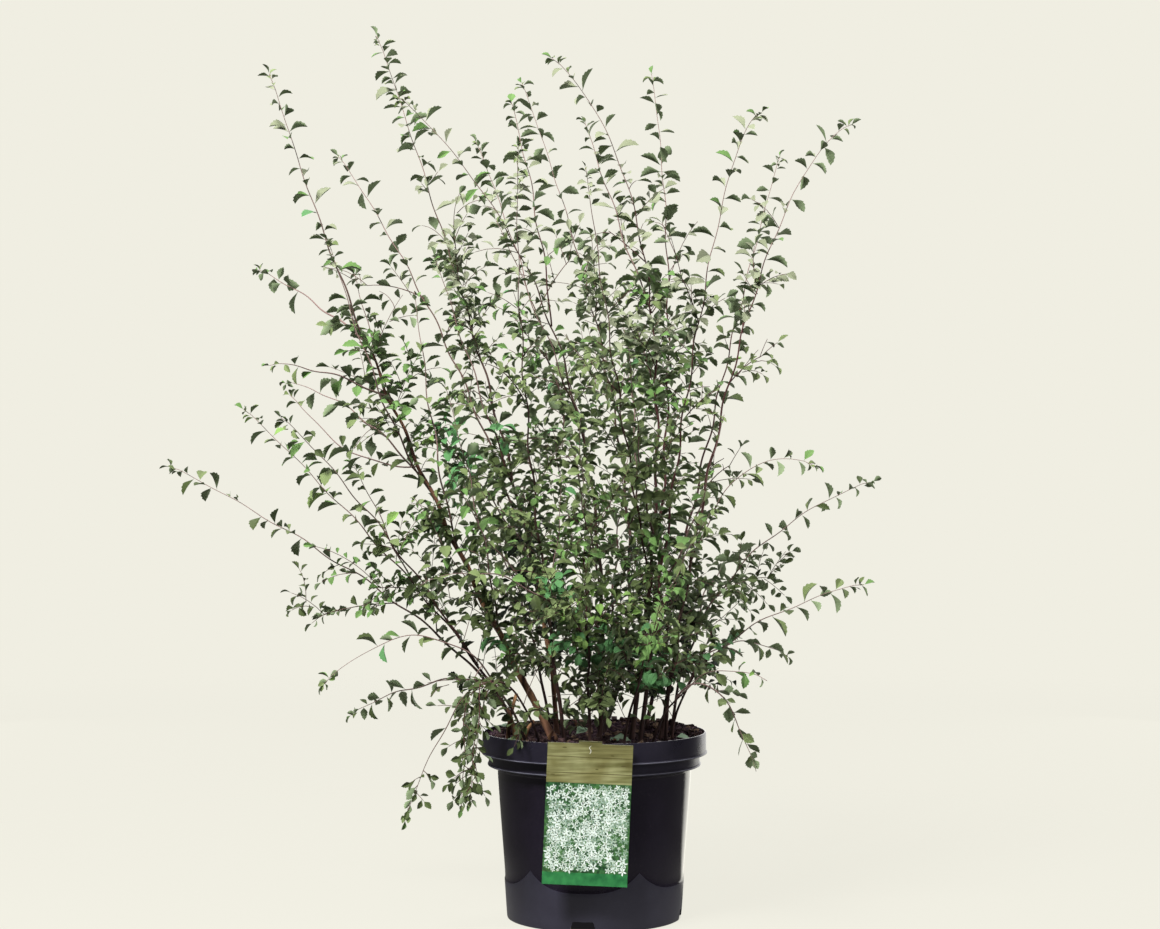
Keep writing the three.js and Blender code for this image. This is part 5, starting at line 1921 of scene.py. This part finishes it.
    def grow_nodes(self, spray, draw):
        """Along the stem: short leafy shoots on its older part, and single leaves that shrink to its tip."""
        curve, stance = spray["curve"], spray["stance"]
        reached = FIRST_NODE
        azimuth = any_turn(draw)
        whole_run = curve.length + (0 if stance == "open" else spray["run_on"])
        while reached < whole_run:
            place, along = self.place_on(spray, reached / curve.length)
            left = whole_run - reached
            tint = self.tint(spray, place, draw, left)
            size = blend(BLADE_AT_TIP, SINGLE_BLADE, min(left / SMALL_LEAF_TIP, 1))
            size *= blend(*NODE_LEAF_SIZES, draw())
            age = float(smooth_step(left, SHOOTLESS_TIP, SHOOTY_FROM_TIP))
            if stance == "hanging":
                age = HANGING_AGE * float(smooth_step(left, *HANGING_SPAN))
            if stance == "open":
                size = SINGLE_BLADE * blend(*OPEN_LEAF_SIZES, draw())
            full = fullness_at(place)
            older = draw() < SHOOT_NODE_SHARE * age * spray["fullness"] * full
            shoots = (1 if older else 0) + (1 if draw() < full - 1 else 0)
            for again in range(shoots):
                reach = blend(SHOOT_SHORTEST, SHOOT_LONGEST, draw() ** SHORT_SHOOTS)
                reach *= HANGING_SHOOT_SHARE if stance == "hanging" else 1
                turn = azimuth + again * SECOND_SHOOT_TURN
                if left < SHOOTLESS_TIP and stance is None:
                    turn += SECOND_LEAF_TURN
                    self.leaf(spray, place, along, turn, size, draw, tint, stance="single")
                    continue
                tip = place + leaning(along, turn, blend(*SHOOT_LEANS, draw()) * DEGREE) * reach
                if self.inside(spray, tip):
                    self.twig(spray, place, tip, FINE_RADII, draw, tint, *SHOOT_LEAVES)
            if not older:
                self.leaf(spray, place, along, azimuth, size, draw, tint, stance="single")
            azimuth += GOLDEN_ANGLE
            closer = blend(CLOSEST_NODES, 1, min(left / CLOSE_TIP, 1))
            reached += NODE_SPACING * blend(*NODE_PLAY, draw()) * closer
        place, along = self.place_on(spray, whole_run / curve.length)
        self.leaf(spray, place, along, azimuth, BLADE_AT_TIP, draw, "fresh", lean=TIP_LEAF_LEAN)
        for _ in range(TIP_TUFT):
            azimuth += GOLDEN_ANGLE
            size = BLADE_AT_TIP * blend(*TUFT_LEAF_SIZES, draw())
            back = place - along * blend(0, TIP_RUN_ON, draw())
            self.leaf(spray, back, along, azimuth, size, draw, "mid", lean=blend(*TUFT_LEANS, draw()))

    def finish(self):
        names = ["spray_" + spray["name"] for spray in self.sprays]
        brown = ((0.017, 0.010, 0.010), (0.055, 0.032, 0.029), (0.10, 0.055, 0.036))
        tan = ((0.052, 0.026, 0.020), (0.20, 0.095, 0.066), (0.52, 0.29, 0.15))
        barks = [bark_material("bark_brown", *brown, 0.4), bark_material("bark_tan", *tan, 1.0)]
        woods = [
            twig_material("twig_red_brown", (0.075, 0.034, 0.032)),
            twig_material("twig_grey_brown", (0.10, 0.062, 0.052)),
            twig_material("twig_young_wood", (0.2, 0.13, 0.118)),
        ]
        settle(self.bark.mesh("canes", barks), ["cane_" + cane["name"] for cane in self.canes])
        settle(self.twigs.mesh("twigs", woods), names)
        under = leaf_material("leaf_underside", (0.17, 0.22, 0.12), 0.6, 0.2)
        unders = {
            "young": leaf_material("young_leaf_underside", (0.24, 0.34, 0.12), 0.6, 0.2),
            "shade": leaf_material("shaded_leaf_underside", (0.05, 0.065, 0.042), 0.6, 0.2),
        }
        for tint, leaves in self.leaves.items():
            skins = [leaf_material("leaf_" + tint, LEAF_COLOURS[tint]), unders.get(tint, under)]
            for first in range(0, len(leaves.rows), LEAVES_IN_PIECE):
                batch = Leaves()
                batch.rows = leaves.rows[first : first + LEAVES_IN_PIECE]
                name = f"leaves_{tint}_{first // LEAVES_IN_PIECE + 1}"
                settle(batch.mesh(name, skins), names)


# Shed leaves: across, back, above the soil, turn, length, and how far each tips towards the front
SHED_LEAVES = [
    (-116, -78, 10, 0.1, 28, 0.6), (-24, -66, 12, 1.0, 22, 1.0), (20, -70, 10, 0.1, 27, 0.7),
    (100, -64, 8, 0.3, 21, 0.6), (-42, 96, 6, 2.9, 22, 0.2), (66, 98, 6, 0.9, 22, 0.2),
    (-112, 20, 6, 2.0, 23, 0.2), (20, -20, 6, 5.2, 22, 0.4),
]
SHED_DROOP, SHED_FOLD, SHED_TWIST, SHED_WIDTH = 0.45, 14 * DEGREE, 0.3, 1.25
# Cut stubs of old canes: across, back, lean, height and radius
STUBS = [
    (-108, -50, 0.16, 64, 2.6), (-98, -58, -0.2, 44, 2.4), (-88, -44, 0.4, 26, 2.8),
    (-58, -58, 0.3, 16, 2.2), (24, -64, 0.1, 9, 2.4), (-20, 66, -0.3, 14, 2.2),
]
STUB_POINTS = 6
STUB_SIDES = 9
STUB_TAPER = (1.2, 0.8)


def make_shed_leaves():
    shed = Leaves()
    for x, y, rise, turn, length, tip in SHED_LEAVES:
        facing = unit(np.array([0.1, -tip, 1.0]))
        heading = np.array([math.cos(turn), math.sin(turn), 0.0])
        direction = unit(heading - facing * (facing @ heading))
        across = np.cross(direction, facing)
        shed.add((x, y, ground_at(x, y) + rise), direction, across, facing, length,
                 SHED_DROOP, SHED_FOLD, SHED_TWIST, SHED_WIDTH)
    pale = leaf_material("shed_leaf", (0.2, 0.28, 0.19), 0.6, 0.3)
    pale_under = leaf_material("shed_leaf_underside", (0.25, 0.31, 0.22), 0.65, 0.2)
    settle(shed.mesh("fallen_leaves", [pale, pale_under]))


def make_stubs():
    stubs = Tubes()
    for x, y, lean, height, radius in STUBS:
        ground = ground_at(x, y) - CANE_SUNK
        rises = np.linspace(0, height + CANE_SUNK, STUB_POINTS)
        line = [(x + lean * h * h / height, y, ground + h) for h in rises]
        foot, tip = STUB_TAPER
        stubs.add(line, np.linspace(radius * foot, radius * tip, STUB_POINTS), STUB_SIDES)
    bark = bark_material("stub_bark", (0.06, 0.03, 0.02), (0.22, 0.12, 0.06), (0.34, 0.19, 0.09), 1.0)
    settle(stubs.mesh("cut_stubs", [bark]))


# --------------------------------------------------
make_camera()
make_softboxes()
make_studio()
make_floor()
make_pot()
make_soil()
make_chips()
make_care_card()
plant = Plant()
plant.grow()
plant.finish()
make_shed_leaves()
make_stubs()
bpy.context.scene.view_settings.view_transform = "Standard"
